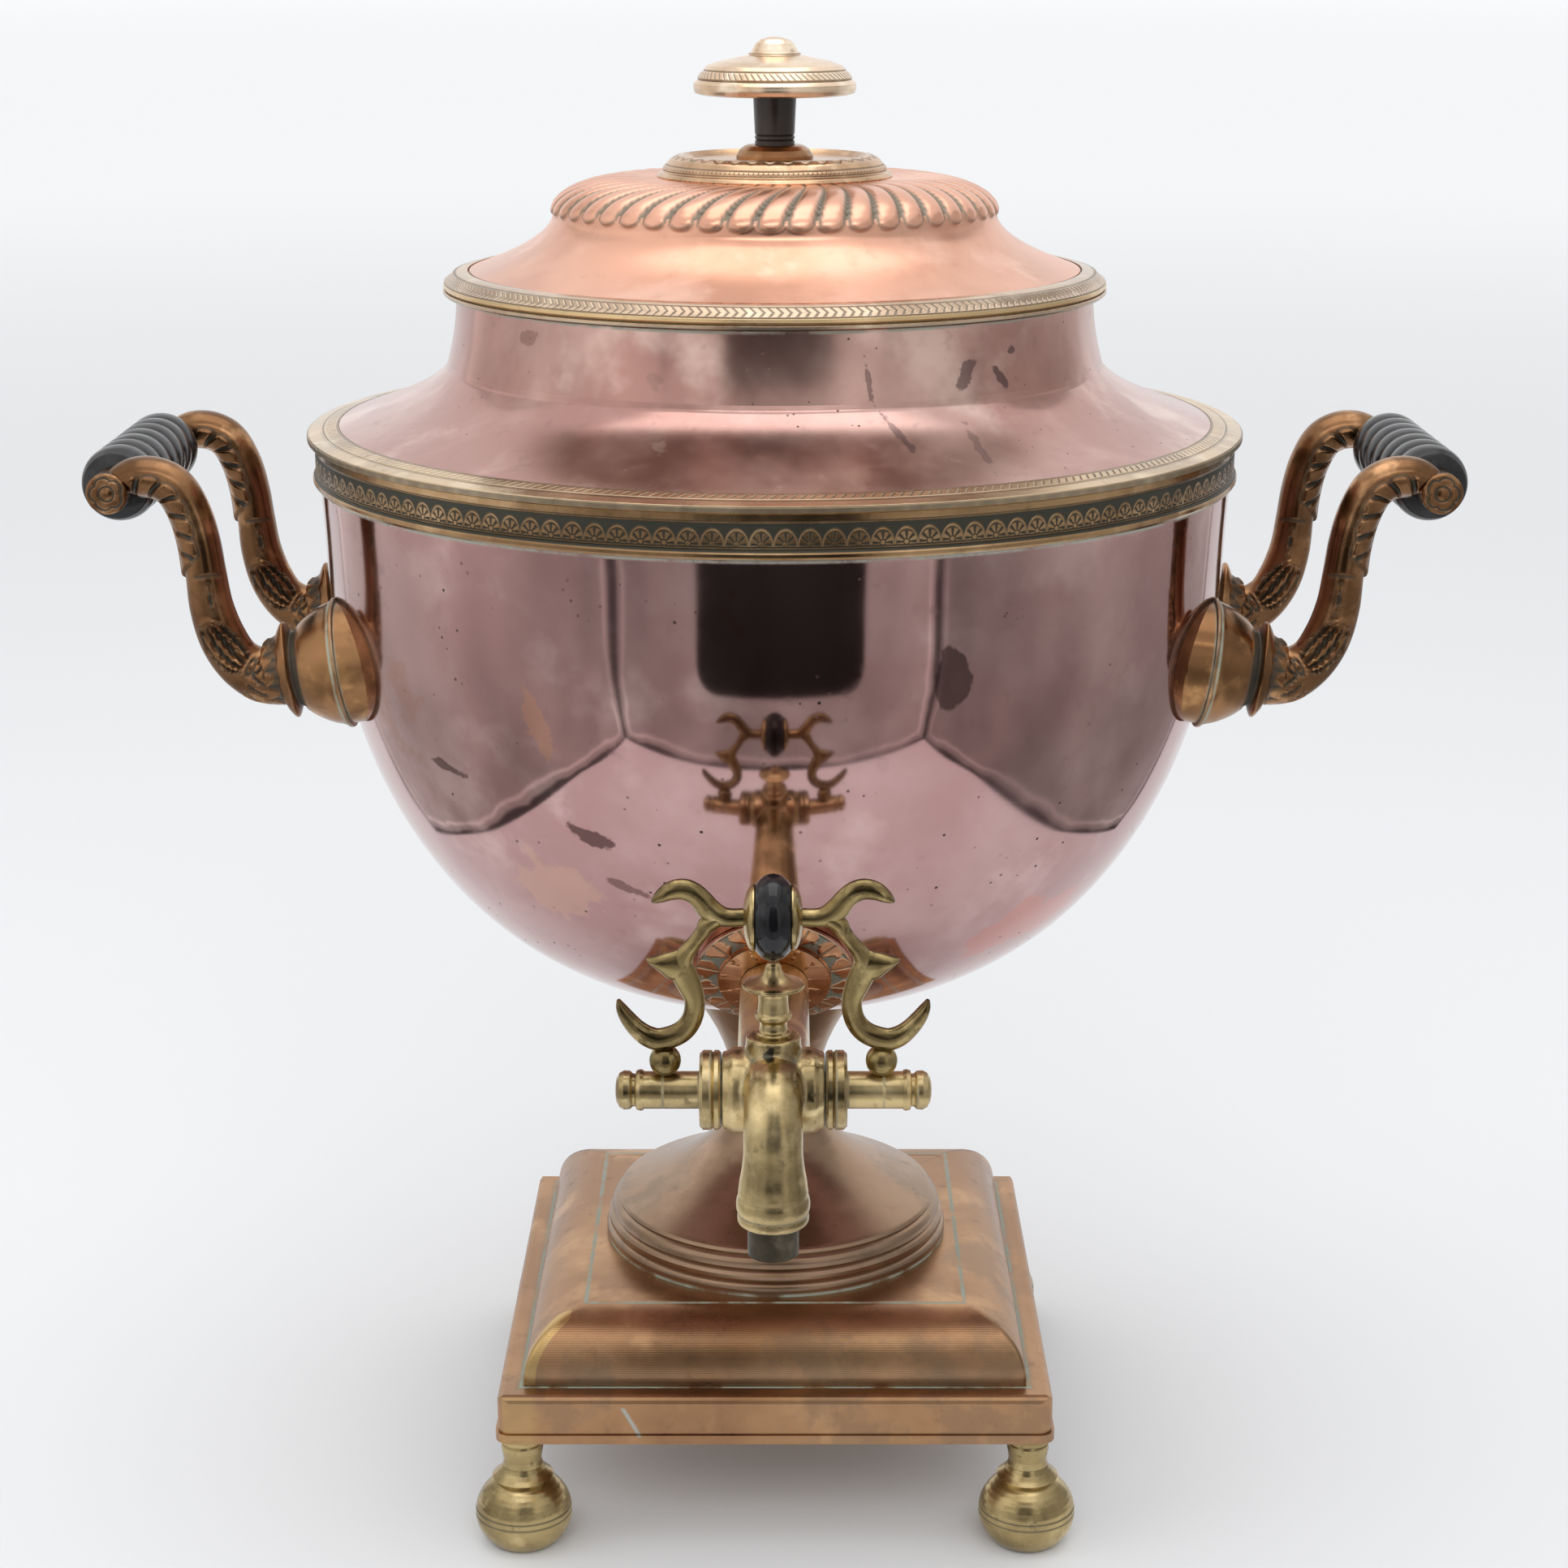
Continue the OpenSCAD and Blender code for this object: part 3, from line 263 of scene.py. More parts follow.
# what a metal has where its own look doesn't say otherwise
plainLook = {
    "cloudScale": 14, "grainScale": 160, "grainHeight": 0.15, "pitSize": 0.08, "bump": 0.25, "bumpDepth": 0.0002,
    "grimeTone": (0.03, 0.022, 0.018), "recessTone": (0.035, 0.03, 0.022), "recessShare": 0.85, "recessDull": 0.6,
    "seamTone": verdigris, "seamScale": 90, "dirtRough": 0.35, "seams": (), "spots": (),
}


def squareOf(x, y, z):
    return larger(abs(x), abs(y))


def sidewaysOf(x, y, z):
    return abs(x)


def heightOf(x, y, z):
    return z


# measures, patterns and spots are in millimetres, and a spot is (middle, half sizes, lean, raggedness, share, tone)
def agedMetal(name, look, pattern=None):
    look = {**plainLook, **look}
    material, tree, place = newFinish(name)
    at = [value * 1000 for value in splitUp(place)]
    big = cloud(place, look["cloudScale"], 5, 0.6)
    small = cloud(place, look["grainScale"], 3, 0.6)
    tone = blendTone(span(big, 0.38, 0.62), look["deep"], look["main"])
    tone = blendTone(span(cloud(place, look["cloudScale"] * 2.3), 0.52, 0.72), tone, look["light"])
    dirt = span(small, 0.58, 0.78) * look["grime"]
    if "stain" in look:
        patch = span(cloud(place, look["stainScale"], 6, 0.65), look["stainFrom"], look["stainFrom"] + 0.06)
        tone = blendTone(patch * look["stainShare"], tone, look["stain"])
    height = small * look["grainHeight"]
    if "scratch" in look:
        height += cloud(place, 60, 2, 0.5, (0.4, 0.4, 9)) * look["scratch"]
    if "pits" in look:
        cells = put(tree, "TexVoronoi", "Distance", {"Vector": place, "Scale": look["pitScale"]})
        pit = span(cells, look["pitSize"] * 0.6, look["pitSize"] * 1.3, 1.0, 0.0)
        dirt = larger(dirt, pit * span(cloud(place, 40, 2), 0.5, 0.62) * look["pits"])
    recess = put(tree, "Attribute", "Fac", attribute_name="recess")
    for middle, half, lean, ragged, share, spotTone in look["spots"]:
        gap = put(tree, "VectorMath", 0, {0: place, 1: [c * mm for c in middle]}, operation="SUBTRACT")
        gap = put(tree, "Mapping", 0, {"Vector": gap, "Rotation": (0, math.radians(lean), 0),
                  "Scale": [c * mm for c in half]}, vector_type="TEXTURE")
        frayed = lengthOf(gap) + span(cloud(place, ragged, 4, 0.6), 0.2, 0.8, -0.6, 0.6)
        tone = blendTone(span(frayed, 0.75, 1.0, share, 0.0), tone, spotTone)
    if pattern:
        raised, sunk, patches = pattern(place, *at)
        height += raised
        recess = larger(recess, sunk)
        for share, patchTone in patches:
            tone = blendTone(share, tone, patchTone)
    tone = blendTone(dirt, tone, look["grimeTone"])
    tone = blendTone(recess * look["recessShare"], tone, look["recessTone"])
    green = put(tree, "Attribute", "Fac", attribute_name="green")
    for measure, line, width, share in look["seams"]:
        green = larger(green, nearness(measure(*at), line, width) * share)
    green *= span(cloud(place, look["seamScale"], 4, 0.6), 0.36, 0.56, 0.15, 1.0)
    tone = blendTone(green, tone, look["seamTone"])
    dull = larger(recess * look["recessDull"], green)
    rough = span(big, 0.3, 0.7, *look["rough"]) + larger(dull, dirt) * look["dirtRough"]
    bump = put(tree, "Bump", 0, {"Height": height, "Strength": look["bump"], "Distance": look["bumpDepth"]})
    feed(tree.nodes["Principled BSDF"],
         {"Base Color": tone, "Roughness": rough, "Metallic": 1.0 - dull * 0.9, "Normal": bump})
    return material


def ebonyFinish(name, tone, rough, stretch):
    material, tree, place = newFinish(name)
    grain = cloud(place, 120, 4, 0.6, stretch)
    # the grain drawn lighter: the wood's own grain, with a painted sheen on it
    grainAndSheen = blendTone(span(grain, 0.4, 0.7), tone, [c * 2.6 + 0.006 for c in tone])
    bump = put(tree, "Bump", 0, {"Height": grain, "Strength": 0.1, "Distance": 0.0002})
    feed(tree.nodes["Principled BSDF"], {"Base Color": grainAndSheen, "Normal": bump, "IOR": 1.42,
         "Roughness": span(cloud(place, 60), 0.35, 0.7, rough, rough + 0.16)})
    return material


def around(x, y, count):
    return calc("ARCTAN2", y, x) * (count / (2 * math.pi))


# fine lines round the piece, mostly turned into the metal: (where, half width); the flange's edge line is painted
# shade
def groovesAndShadeLines(value, lines):
    return larger(*(nearness(value, at, width) for at, width in lines))


# a row of slanting strokes round the piece; the strokes lean by the value along
def strokes(x, y, along, level, form):
    twist = calc("FRACT", around(x, y, form["count"]) + along * form["slant"])
    return nearness(twist, 0.5, form["half"]) * within(level, *form["row"])


# the band's stamped frieze: a row of arched palmettes between two lines
frieze = {"count": 136, "radius": 131.3, "foot": 307.7, "top": 312.4, "arch": (3.0, 4.3), "leaves": 8,
          "leafSpan": (1.0, 2.7), "middle": 0.5, "eye": (0.5, 0.8), "lines": ((307.1, 0.3), (313.7, 0.35)),
          "ground": (306.3, 314.0), "green": ((312.9, 0.7), (304.3, 0.5)), "greenShare": 0.6}


def friezePattern(place, x, y, z):
    cell = calc("FRACT", around(x, y, frieze["count"])) - 0.5
    across = cell * (2 * math.pi * frieze["radius"] / frieze["count"])
    up = z - frieze["foot"]
    arch = nearness(distance(across / frieze["arch"][0], up / frieze["arch"][1]), 0.95, 0.16)
    lift = up - frieze["middle"]
    far = distance(across, lift)
    rays = abs(calc("SINE", calc("ARCTAN2", lift, across) * (frieze["leaves"] / 2)))
    leaves = span(rays, 0.35, 0.75) * within(far, *frieze["leafSpan"], 0.3)
    art = larger(arch, leaves, span(far, *frieze["eye"], 1.0, 0.0)) * within(z, frieze["foot"], frieze["top"], 0.15)
    raised = larger(art, groovesAndShadeLines(z, frieze["lines"])) * 0.8
    ground = within(z, *frieze["ground"], 0.2) * (1.0 - raised)
    green = groovesAndShadeLines(z, frieze["green"]) * span(cloud(place, 70), 0.4, 0.6) * frieze["greenShare"]
    return raised, ground, [(green, verdigris)]


# flange work: the dark line at 133.4, on the flange's outer edge, is painted shade
flangeWork = {"count": 320, "slant": 0.28, "half": 0.2, "row": (125.6, 127.9, 0.2),
              "lines": ((128.9, 0.35), (124.9, 0.35), (133.4, 0.3)),
              "raised": ((125.5, 128.3, 0.5), (129.8, 132.8, 0.6))}


def flangePattern(place, x, y, z):
    r = distance(x, y)
    dashes = strokes(x, y, r, r, flangeWork)
    raised = larger(*(within(r, *strip) for strip in flangeWork["raised"]))
    # the lines only darken the metal; the one on the outer edge is painted shade
    return (raised - dashes) * 0.7, larger(dashes * 0.6, groovesAndShadeLines(r, flangeWork["lines"]) * 0.8), []


rimWork = {"count": 250, "slant": 0.55, "half": 0.24, "row": (359.3, 361.4, 0.1), "middle": 360.35,
           "lines": ((359.1, 0.28), (361.65, 0.2), (357.4, 0.25)), "gold": (357.4, 359.1, 0.3),
           "goldTone": (0.74, 0.52, 0.24), "goldShare": 0.6, "green": (356.0, 0.7)}


def rimPattern(place, x, y, z):
    leaves = strokes(x, y, abs(z - rimWork["middle"]), z, rimWork)
    sunk = larger(leaves * 0.75, groovesAndShadeLines(z, rimWork["lines"]) * 0.9)
    gold = within(z, *rimWork["gold"]) * rimWork["goldShare"]
    green = nearness(z, *rimWork["green"]) * span(cloud(place, 80), 0.4, 0.55)
    return sunk * -1.0, sunk, [(gold, rimWork["goldTone"]), (green, verdigris)]


knobWork = {"count": 72, "slant": 0.5, "half": 0.28, "row": (414.8, 416.3, 0.25),
            "lines": ((414.4, 0.3), (416.85, 0.3), (421.2, 0.25))}


def knobPattern(place, x, y, z):
    sunk = larger(strokes(x, y, z, z, knobWork), groovesAndShadeLines(z, knobWork["lines"])) * 0.8
    return sunk * -1.0, sunk, []


collarWork = {"beads": 450, "beadRow": (390.3, 0.6), "lines": ((391.1, 0.3), (389.6, 0.25)), "waves": 36, "wave": 0.7,
              "leaf": (28.0, 0.8), "leafAbove": (391.3, 391.6)}


def collarPattern(place, x, y, z):
    turn = calc("ARCTAN2", y, x)
    beads = abs(calc("SINE", around(x, y, collarWork["beads"])))
    dots = span(beads, 0.5, 0.2) * nearness(z, *collarWork["beadRow"])
    wave = calc("SINE", turn * collarWork["waves"]) * collarWork["wave"]
    leaf = nearness(distance(x, y) + wave, *collarWork["leaf"]) * span(z, *collarWork["leafAbove"])
    sunk = larger(larger(dots, groovesAndShadeLines(z, collarWork["lines"])) * 0.8, leaf * 0.7)
    return sunk * -1.0, sunk, []


# marks on the plinth: a brass strip let into one mitre, a painted highlight in brass colour at the slab's front left
# corner, a run of solder, tarnish and the mitres' lines
repair = {"brass": (0.60, 0.40, 0.17), "solder": (0.46, 0.47, 0.43), "tarnish": (0.17, 0.15, 0.115),
          "stripHalf": 3.2, "stripFrom": 59.5, "above": (48.8, 49.2), "patch": (-78, -71, 4), "patchShare": 0.4,
          "face": (-79.0, -79.6), "runAt": -18.9, "runHalf": 1.1, "runLean": 0.55, "runSpan": (37.0, 45.0, 0.8),
          "foot": (43, 11), "footAbove": (66.2, 66.6), "edge": (73.7, 2.4), "edgeShare": 0.62}


def plinthPattern(place, x, y, z):
    off, away = abs(x - y), (x + y) * -0.5
    strip = span(off, repair["stripHalf"], repair["stripHalf"] + 0.5, 1.0, 0.0) * span(z, *repair["above"])
    strip *= span(away - off * 0.7, repair["stripFrom"] - 0.4, repair["stripFrom"])
    face = span(y, *repair["face"])
    # painted highlight: the slab's front face drawn lighter, in brass colour, near its left corner
    patch = within(x, *repair["patch"]) * face * repair["patchShare"]
    tarnish = nearness(distance(x, y), *repair["foot"]) * span(z, *repair["footAbove"])
    tarnish = larger(tarnish, nearness(squareOf(x, y, z), *repair["edge"]) * repair["edgeShare"])
    tarnish *= span(cloud(place, 45), 0.35, 0.6, 0.3, 0.75)
    run = nearness(x + z * repair["runLean"], repair["runAt"], repair["runHalf"])
    run = run * within(z, *repair["runSpan"]) * face
    mitre = nearness(abs(x) - abs(y), 0.0, 0.35) * span(z, 48.9, 49.3)
    return strip * 0.4 - mitre * 0.5, mitre * 0.25, [(strip, repair["brass"]), (patch, repair["brass"]),
                                                     (run, repair["solder"]), (tarnish, repair["tarnish"])]


# leaf work in low relief round the plain ring of the tap's rosette
rosetteWork = {"z": 180.8, "ring": 15.3, "long": 6.5, "leaves": 14, "wide": 0.44, "bend": 2.6, "frill": 0.09,
               "rib": 0.06, "edge": (20.9, 21.3), "green": (21.4, 0.4), "greenShare": 0.55}


def rosettePattern(place, x, y, z):
    form = rosetteWork
    z = z - form["z"]
    r = distance(x, z)
    cell = abs(calc("FRACT", around(x, z, form["leaves"])) - 0.5)
    share = calc("MINIMUM", larger((r - form["ring"]) / form["long"], 0.0), 1.0)
    width = calc("SINE", share * form["bend"]) * form["wide"]
    frill = span(cloud(place, 300, 1), 0.3, 0.7, -form["frill"], form["frill"])
    leaf = span(width + frill - cell, -0.06, 0.08) * (1.0 - nearness(cell, 0.0, form["rib"]) * 0.7)
    art = larger(leaf, span(r, *form["edge"]))
    sunk = span(r, form["ring"], form["ring"] + 0.3) * (1.0 - art)
    green = larger(sunk * span(cloud(place, 150), 0.42, 0.56), nearness(r, *form["green"]))
    return art, sunk, [(green * form["greenShare"], verdigris)]


looks = {
    "bowlCopper": {
        "deep": (0.46, 0.27, 0.26), "main": (0.55, 0.36, 0.345), "light": (0.62, 0.42, 0.40),
        "stain": (0.50, 0.24, 0.16), "stainScale": 15, "stainFrom": 0.62, "stainShare": 0.4, "rough": (0.05, 0.11),
        "grime": 0.10, "pits": 0.9, "pitScale": 230, "pitSize": 0.11, "scratch": 0.12, "bump": 0.05,
        "seams": [(heightOf, 303.6, 0.8, 0.7)],
        "spots": [((-47, -109, 226), (9, 9, 3), 20, 120, 0.85, (0.10, 0.05, 0.045)),
                  ((-36, -105, 210), (7, 7, 1.6), 24, 120, 0.7, (0.14, 0.07, 0.06)),
                  ((45.6, -120.5, 270.7), (4.2, 6, 8), 0, 60, 0.85, (0.13, 0.075, 0.07)),
                  ((-61.5, -111.4, 257), (3.5, 9, 12), -24, 150, 0.4, (0.70, 0.36, 0.20)),
                  ((-56, -93, 208), (13, 13, 13), 0, 90, 0.4, (0.64, 0.38, 0.27)),
                  ((66, -70, 191), (20, 20, 9), 0, 60, 0.55, (0.62, 0.24, 0.20)),
                  ((-88, -86, 239), (9, 9, 1.6), 8, 120, 0.8, (0.12, 0.06, 0.05))]},
    "shoulderCopper": {
        "deep": (0.46, 0.255, 0.22), "main": (0.61, 0.395, 0.345), "light": (0.72, 0.51, 0.445),
        "rough": (0.16, 0.25), "grime": 0.15, "pits": 0.8, "pitScale": 250, "bump": 0.05,
        "seams": [(heightOf, 355.2, 0.9, 0.8)],
        "spots": [((49.7, -77.3, 342), (2.2, 6, 7), 33, 180, 0.7, (0.13, 0.075, 0.08)),
                  ((59.5, -70.3, 341), (1.3, 5, 3.2), -33, 250, 0.8, (0.12, 0.07, 0.07)),
                  ((24.4, -88.6, 342), (0.8, 5, 6), -10, 300, 0.6, (0.11, 0.07, 0.07)),
                  ((31, -95.5, 331), (0.9, 12, 9), -45, 300, 0.55, (0.11, 0.07, 0.08)),
                  ((53, -95, 326), (1.0, 14, 8), -35, 250, 0.4, (0.14, 0.09, 0.09)),
                  ((-29, -100.6, 327.4), (2.6, 5, 2.4), 0, 200, 0.5, (0.90, 0.70, 0.62)),
                  ((-31.2, -86.2, 342.8), (2.6, 5, 3.8), 0, 120, 0.4, (0.30, 0.18, 0.15)),
                  ((62.6, -65.9, 347.3), (1.1, 4, 1.0), 0, 300, 0.7, (0.10, 0.06, 0.06)),
                  ((-64, -60, 350), (3, 7, 2.4), 0, 120, 0.5, (0.24, 0.13, 0.10))]},
    "lidCopper": {
        "deep": (0.64, 0.32, 0.21), "main": (0.80, 0.44, 0.31), "light": (0.87, 0.52, 0.39),
        "recessTone": (0.10, 0.12, 0.09), "rough": (0.20, 0.34), "grime": 0.12, "scratch": 0.3, "bump": 0.12},
    "cupCopper": {
        "deep": (0.22, 0.11, 0.05), "main": (0.35, 0.185, 0.085), "light": (0.56, 0.31, 0.13),
        "cloudScale": 40, "rough": (0.19, 0.32), "grime": 0.25, "scratch": 0.25, "bump": 0.12},
    "innerCopper": {
        "deep": (0.40, 0.22, 0.15), "main": (0.60, 0.36, 0.25), "light": (0.70, 0.44, 0.32),
        "rough": (0.3, 0.5), "grime": 0.4},
    "pedestalCopper": {
        "deep": (0.31, 0.205, 0.135), "main": (0.43, 0.285, 0.19), "light": (0.53, 0.35, 0.24),
        "stain": (0.22, 0.17, 0.12), "stainScale": 16, "stainFrom": 0.5, "stainShare": 0.5,
        "rough": (0.24, 0.38), "grime": 0.2, "scratch": 0.25, "bump": 0.12, "seams": [(heightOf, 67.2, 1.0, 0.8)]},
    "plinthCopper": {
        "deep": (0.33, 0.18, 0.095), "main": (0.48, 0.275, 0.145), "light": (0.60, 0.36, 0.19),
        "stain": (0.24, 0.165, 0.11), "stainScale": 14, "stainFrom": 0.54, "stainShare": 0.45,
        "rough": (0.24, 0.36), "grime": 0.22, "scratch": 0.25, "bump": 0.12,
        "seams": [(squareOf, 55.6, 1.0, 0.95), (squareOf, 73.7, 0.9, 0.95)]},
    "rosetteCopper": {
        "deep": (0.46, 0.22, 0.11), "main": (0.66, 0.34, 0.18), "light": (0.80, 0.44, 0.24),
        "cloudScale": 60, "rough": (0.18, 0.3), "grime": 0.3, "bump": 0.6, "bumpDepth": 0.0008,
        "recessTone": (0.10, 0.115, 0.09)},
    "brass": {
        "deep": (0.32, 0.24, 0.115), "main": (0.56, 0.43, 0.21), "light": (0.72, 0.57, 0.30),
        "cloudScale": 40, "rough": (0.16, 0.30), "grime": 0.5, "grainScale": 260, "pits": 0.8, "pitScale": 500,
        "bump": 0.3, "recessTone": (0.09, 0.085, 0.055)},
    "tapBrass": {
        "deep": (0.36, 0.27, 0.135), "main": (0.66, 0.51, 0.26), "light": (0.80, 0.64, 0.35),
        "cloudScale": 50, "rough": (0.20, 0.36), "grime": 0.5, "grainScale": 260, "pits": 0.9, "pitScale": 420,
        "bump": 0.35, "recessTone": (0.11, 0.10, 0.07), "seamTone": (0.13, 0.14, 0.11),
        "seams": [(sidewaysOf, 12.7, 0.7, 0.9), (sidewaysOf, 15.3, 0.5, 0.8), (sidewaysOf, 18.2, 0.6, 0.8),
                  (sidewaysOf, 27.0, 0.6, 0.8), (sidewaysOf, 35.2, 0.5, 0.7)],
        "spots": [((-1, -180, 192.4), (1.7, 3, 1.5), 0, 300, 0.9, (0.06, 0.06, 0.055)),
                  ((0.5, -187, 184), (1.6, 3, 1), 0, 300, 0.6, (0.16, 0.20, 0.19))]},
    "lyreBrass": {
        "deep": (0.20, 0.145, 0.065), "main": (0.36, 0.27, 0.12), "light": (0.52, 0.40, 0.19),
        "cloudScale": 60, "rough": (0.18, 0.34), "grime": 0.6, "grainScale": 300, "pits": 0.9, "pitScale": 600,
        "bump": 0.35},
    "knobBrass": {
        "deep": (0.66, 0.47, 0.31), "main": (0.86, 0.68, 0.50), "light": (0.93, 0.77, 0.60),
        "cloudScale": 30, "rough": (0.16, 0.3), "grime": 0.25, "bump": 0.4, "bumpDepth": 0.0005},
    "collarBrass": {
        "deep": (0.44, 0.27, 0.16), "main": (0.62, 0.41, 0.25), "light": (0.74, 0.52, 0.34),
        "cloudScale": 40, "rough": (0.16, 0.3), "grime": 0.35, "bump": 0.5, "bumpDepth": 0.0005},
    "bandBrass": {
        "deep": (0.30, 0.18, 0.09), "main": (0.45, 0.29, 0.15), "light": (0.58, 0.39, 0.22),
        "cloudScale": 30, "rough": (0.16, 0.3), "grime": 0.35, "bump": 0.9, "bumpDepth": 0.0006,
        "recessTone": (0.022, 0.024, 0.017), "recessShare": 0.97},
    "bronze": {
        "deep": (0.17, 0.085, 0.04), "main": (0.31, 0.16, 0.075), "light": (0.47, 0.26, 0.13),
        "cloudScale": 40, "rough": (0.2, 0.36), "grime": 0.4, "bump": 0.3,
        "recessTone": (0.018, 0.026, 0.022), "recessShare": 0.97},
    "rimBronze": {
        "deep": (0.46, 0.33, 0.23), "main": (0.61, 0.46, 0.33), "light": (0.70, 0.55, 0.41),
        "cloudScale": 40, "rough": (0.18, 0.3), "grime": 0.25, "bump": 0.6, "bumpDepth": 0.0005,
        "recessTone": (0.09, 0.08, 0.06)},
    "darkIron": {
        "deep": (0.05, 0.042, 0.032), "main": (0.10, 0.085, 0.06), "light": (0.18, 0.15, 0.11),
        "cloudScale": 60, "rough": (0.3, 0.5), "grime": 0.5, "pits": 0.9, "pitScale": 500, "bump": 0.5},
}
looks["flangeBrass"] = dict(looks["bandBrass"], deep=(0.50, 0.36, 0.22), main=(0.68, 0.51, 0.33),
                            light=(0.78, 0.61, 0.42))
patterns = {"bandBrass": friezePattern, "flangeBrass": flangePattern, "rimBronze": rimPattern,
            "knobBrass": knobPattern, "collarBrass": collarPattern, "plinthCopper": plinthPattern,
            "rosetteCopper": rosettePattern}
finishes = {name: agedMetal(name, look, patterns.get(name)) for name, look in looks.items()}
finishes["ebony"] = ebonyFinish("ebony", (0.008, 0.008, 0.009), 0.16, (1, 0.2, 1))
finishes["bead"] = ebonyFinish("bead", (0.004, 0.004, 0.005), 0.06, (1, 1, 1))
finishes["stemWood"] = ebonyFinish("stemWood", (0.020, 0.014, 0.012), 0.25, (1, 1, 0.2))
print("finishes ready")


# half of a solid's section as a line of (distance from the axis, height), and whether the line is closed
def sectionOf(name, base=Matrix.Identity(4)):
    bm = bmesh.new()
    bm.from_mesh(nodes[name].data)
    place = Matrix.Rotation(-math.pi / 2, 4, "Z") @ base.inverted()
    bmesh.ops.transform(bm, matrix=place, verts=bm.verts)
    bmesh.ops.remove_doubles(bm, verts=bm.verts, dist=2e-6)
    for normal, clear in (((1, 0, 0), True), ((0, 1, 0), False)):
        cut = bmesh.ops.bisect_plane(bm, geom=bm.verts[:] + bm.edges[:] + bm.faces[:], dist=1e-7,
                                     plane_co=(0, 0, 0), plane_no=normal, clear_inner=clear)
    near = {}
    for edge in cut["geom_cut"]:
        if isinstance(edge, bmesh.types.BMEdge):
            for one, other in (edge.verts, reversed(edge.verts)):
                near.setdefault(one, []).append(other)
    ends = [v for v in near if len(near[v]) == 1]
    here = min(ends or near, key=lambda v: (v.co.z, v.co.x))
    walk = [here]
    while True:
        ahead = [v for v in near[here] if v not in walk[-2:] and (len(walk) < 3 or v is not walk[0])]
        if not ahead or ahead[0] in walk:
            break
        here = ahead[0]
        walk.append(here)
    points = [(v.co.x, v.co.z) for v in walk]
    bm.free()
    area = sum(p[0] * q[1] - q[0] * p[1] for p, q in zip(points, points[1:] + points[:1]))
    return (points if area > 0 else points[::-1]), not ends


# draws a finer line through the points; a bend sharper than the corner stays sharp, and a long stretch stays straight
def rounded(points, closed, step, corner=24, straight=3.5):
    spots = [Vector(p) for p in points]
    spots = [q for i, q in enumerate(spots) if i == 0 or (q - spots[i - 1]).length > 1e-6]
    count = len(spots)
    spans = count if closed else count - 1
    ways = [spots[(i + 1) % count] - spots[i] for i in range(spans)]

    def leaning(one, other, own):
        if one is None or other is None or one.angle(other) > math.radians(corner):
            return own.normalized()
        if one.length > straight * other.length:
            return one.normalized()
        if other.length > straight * one.length:
            return other.normalized()
        return (one.normalized() * other.length + other.normalized() * one.length).normalized()

    fine = []
    for i, way in enumerate(ways):
        before = ways[i - 1] if closed or i > 0 else None
        after = ways[(i + 1) % spans] if closed or i < spans - 1 else None
        m0 = leaning(before, way, way) * way.length
        m1 = leaning(way, after, way) * way.length
        parts = max(1, math.ceil(way.length / step))
        for j in range(parts):
            t = j / parts
            fine.append(spots[i] * (2 * t ** 3 - 3 * t ** 2 + 1) + m0 * (t ** 3 - 2 * t ** 2 + t)
                        + (spots[i] + way) * (3 * t ** 2 - 2 * t ** 3) + m1 * (t ** 3 - t ** 2))
    return fine if closed else fine + [spots[-1]]


# evens out the bends of a line without moving its corners
def faired(points, closed, rounds, corner=9):
    count = len(points)
    free = [closed or 0 < i < count - 1 for i in range(count)]
    for i in range(count):
        one, other = points[i] - points[i - 1], points[(i + 1) % count] - points[i]
        free[i] = free[i] and one.angle(other) < math.radians(corner)
    for _ in range(rounds):
        points = [(points[i - 1] + 2 * p + points[(i + 1) % count]) / 4 if free[i] else p
                  for i, p in enumerate(points)]
    return points


def turned(points, closed, steps):
    bm = bmesh.new()
    along = bm.verts.layers.float.new("along")
    bm.verts.layers.float.new("recess")
    line = [bm.verts.new((max(p[0], 0), 0, p[1])) for p in points]
    for i, vert in enumerate(line):
        vert[along] = i
    ahead = line[1:] + line[:1] if closed else line[1:]
    edges = [bm.edges.new(pair) for pair in zip(line, ahead)]
    bmesh.ops.spin(bm, geom=line + edges, cent=(0, 0, 0), axis=(0, 0, 1), angle=2 * math.pi, steps=steps,
                   use_merge=True)
    bmesh.ops.remove_doubles(bm, verts=bm.verts, dist=1e-7)
    bmesh.ops.recalc_face_normals(bm, faces=bm.faces)
    bm.normal_update()
    return bm


# the same from a line in millimetres, rounded first where it has a step
def turnedLine(line, closed, steps, step=None, corner=24):
    points = [(r * mm, high * mm) for r, high in line]
    return turned(rounded(points, closed, step * mm, corner) if step else points, closed, steps)


def dress(node, finish):
    for place in nodes[node].material_slots:
        place.material = finishes[finish]


# makes the piece that stands for a solid, with the finish that the solid gets too
def newPiece(node, bm, finish, body, slot, sharp=32):
    name = node + "Form"
    bmesh.ops.recalc_face_normals(bm, faces=bm.faces)
    for face in bm.faces:
        face.smooth = True
    mesh = bpy.data.meshes.new(name)
    bm.to_mesh(mesh)
    bm.free()
    mesh.set_sharp_from_angle(angle=math.radians(sharp))
    mesh.materials.append(finishes[finish])
    piece = bpy.data.objects.new(name, mesh)
    scene.collection.objects.link(piece)
    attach(piece, body)
    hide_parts(node)
    dress(node, finish)


def middleOf(name):
    low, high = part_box(name)
    return (low + high) / 2


# stands a turned piece on a node's middle, along the axis named
def setAt(bm, name, axis):
    turns = {"Z": Matrix.Identity(4), "X": Matrix.Rotation(math.pi / 2, 4, "Y"),
             "Y": Matrix.Rotation(-math.pi / 2, 4, "X")}
    bmesh.ops.transform(bm, matrix=Matrix.Translation(middleOf(name)) @ turns[axis], verts=bm.verts)


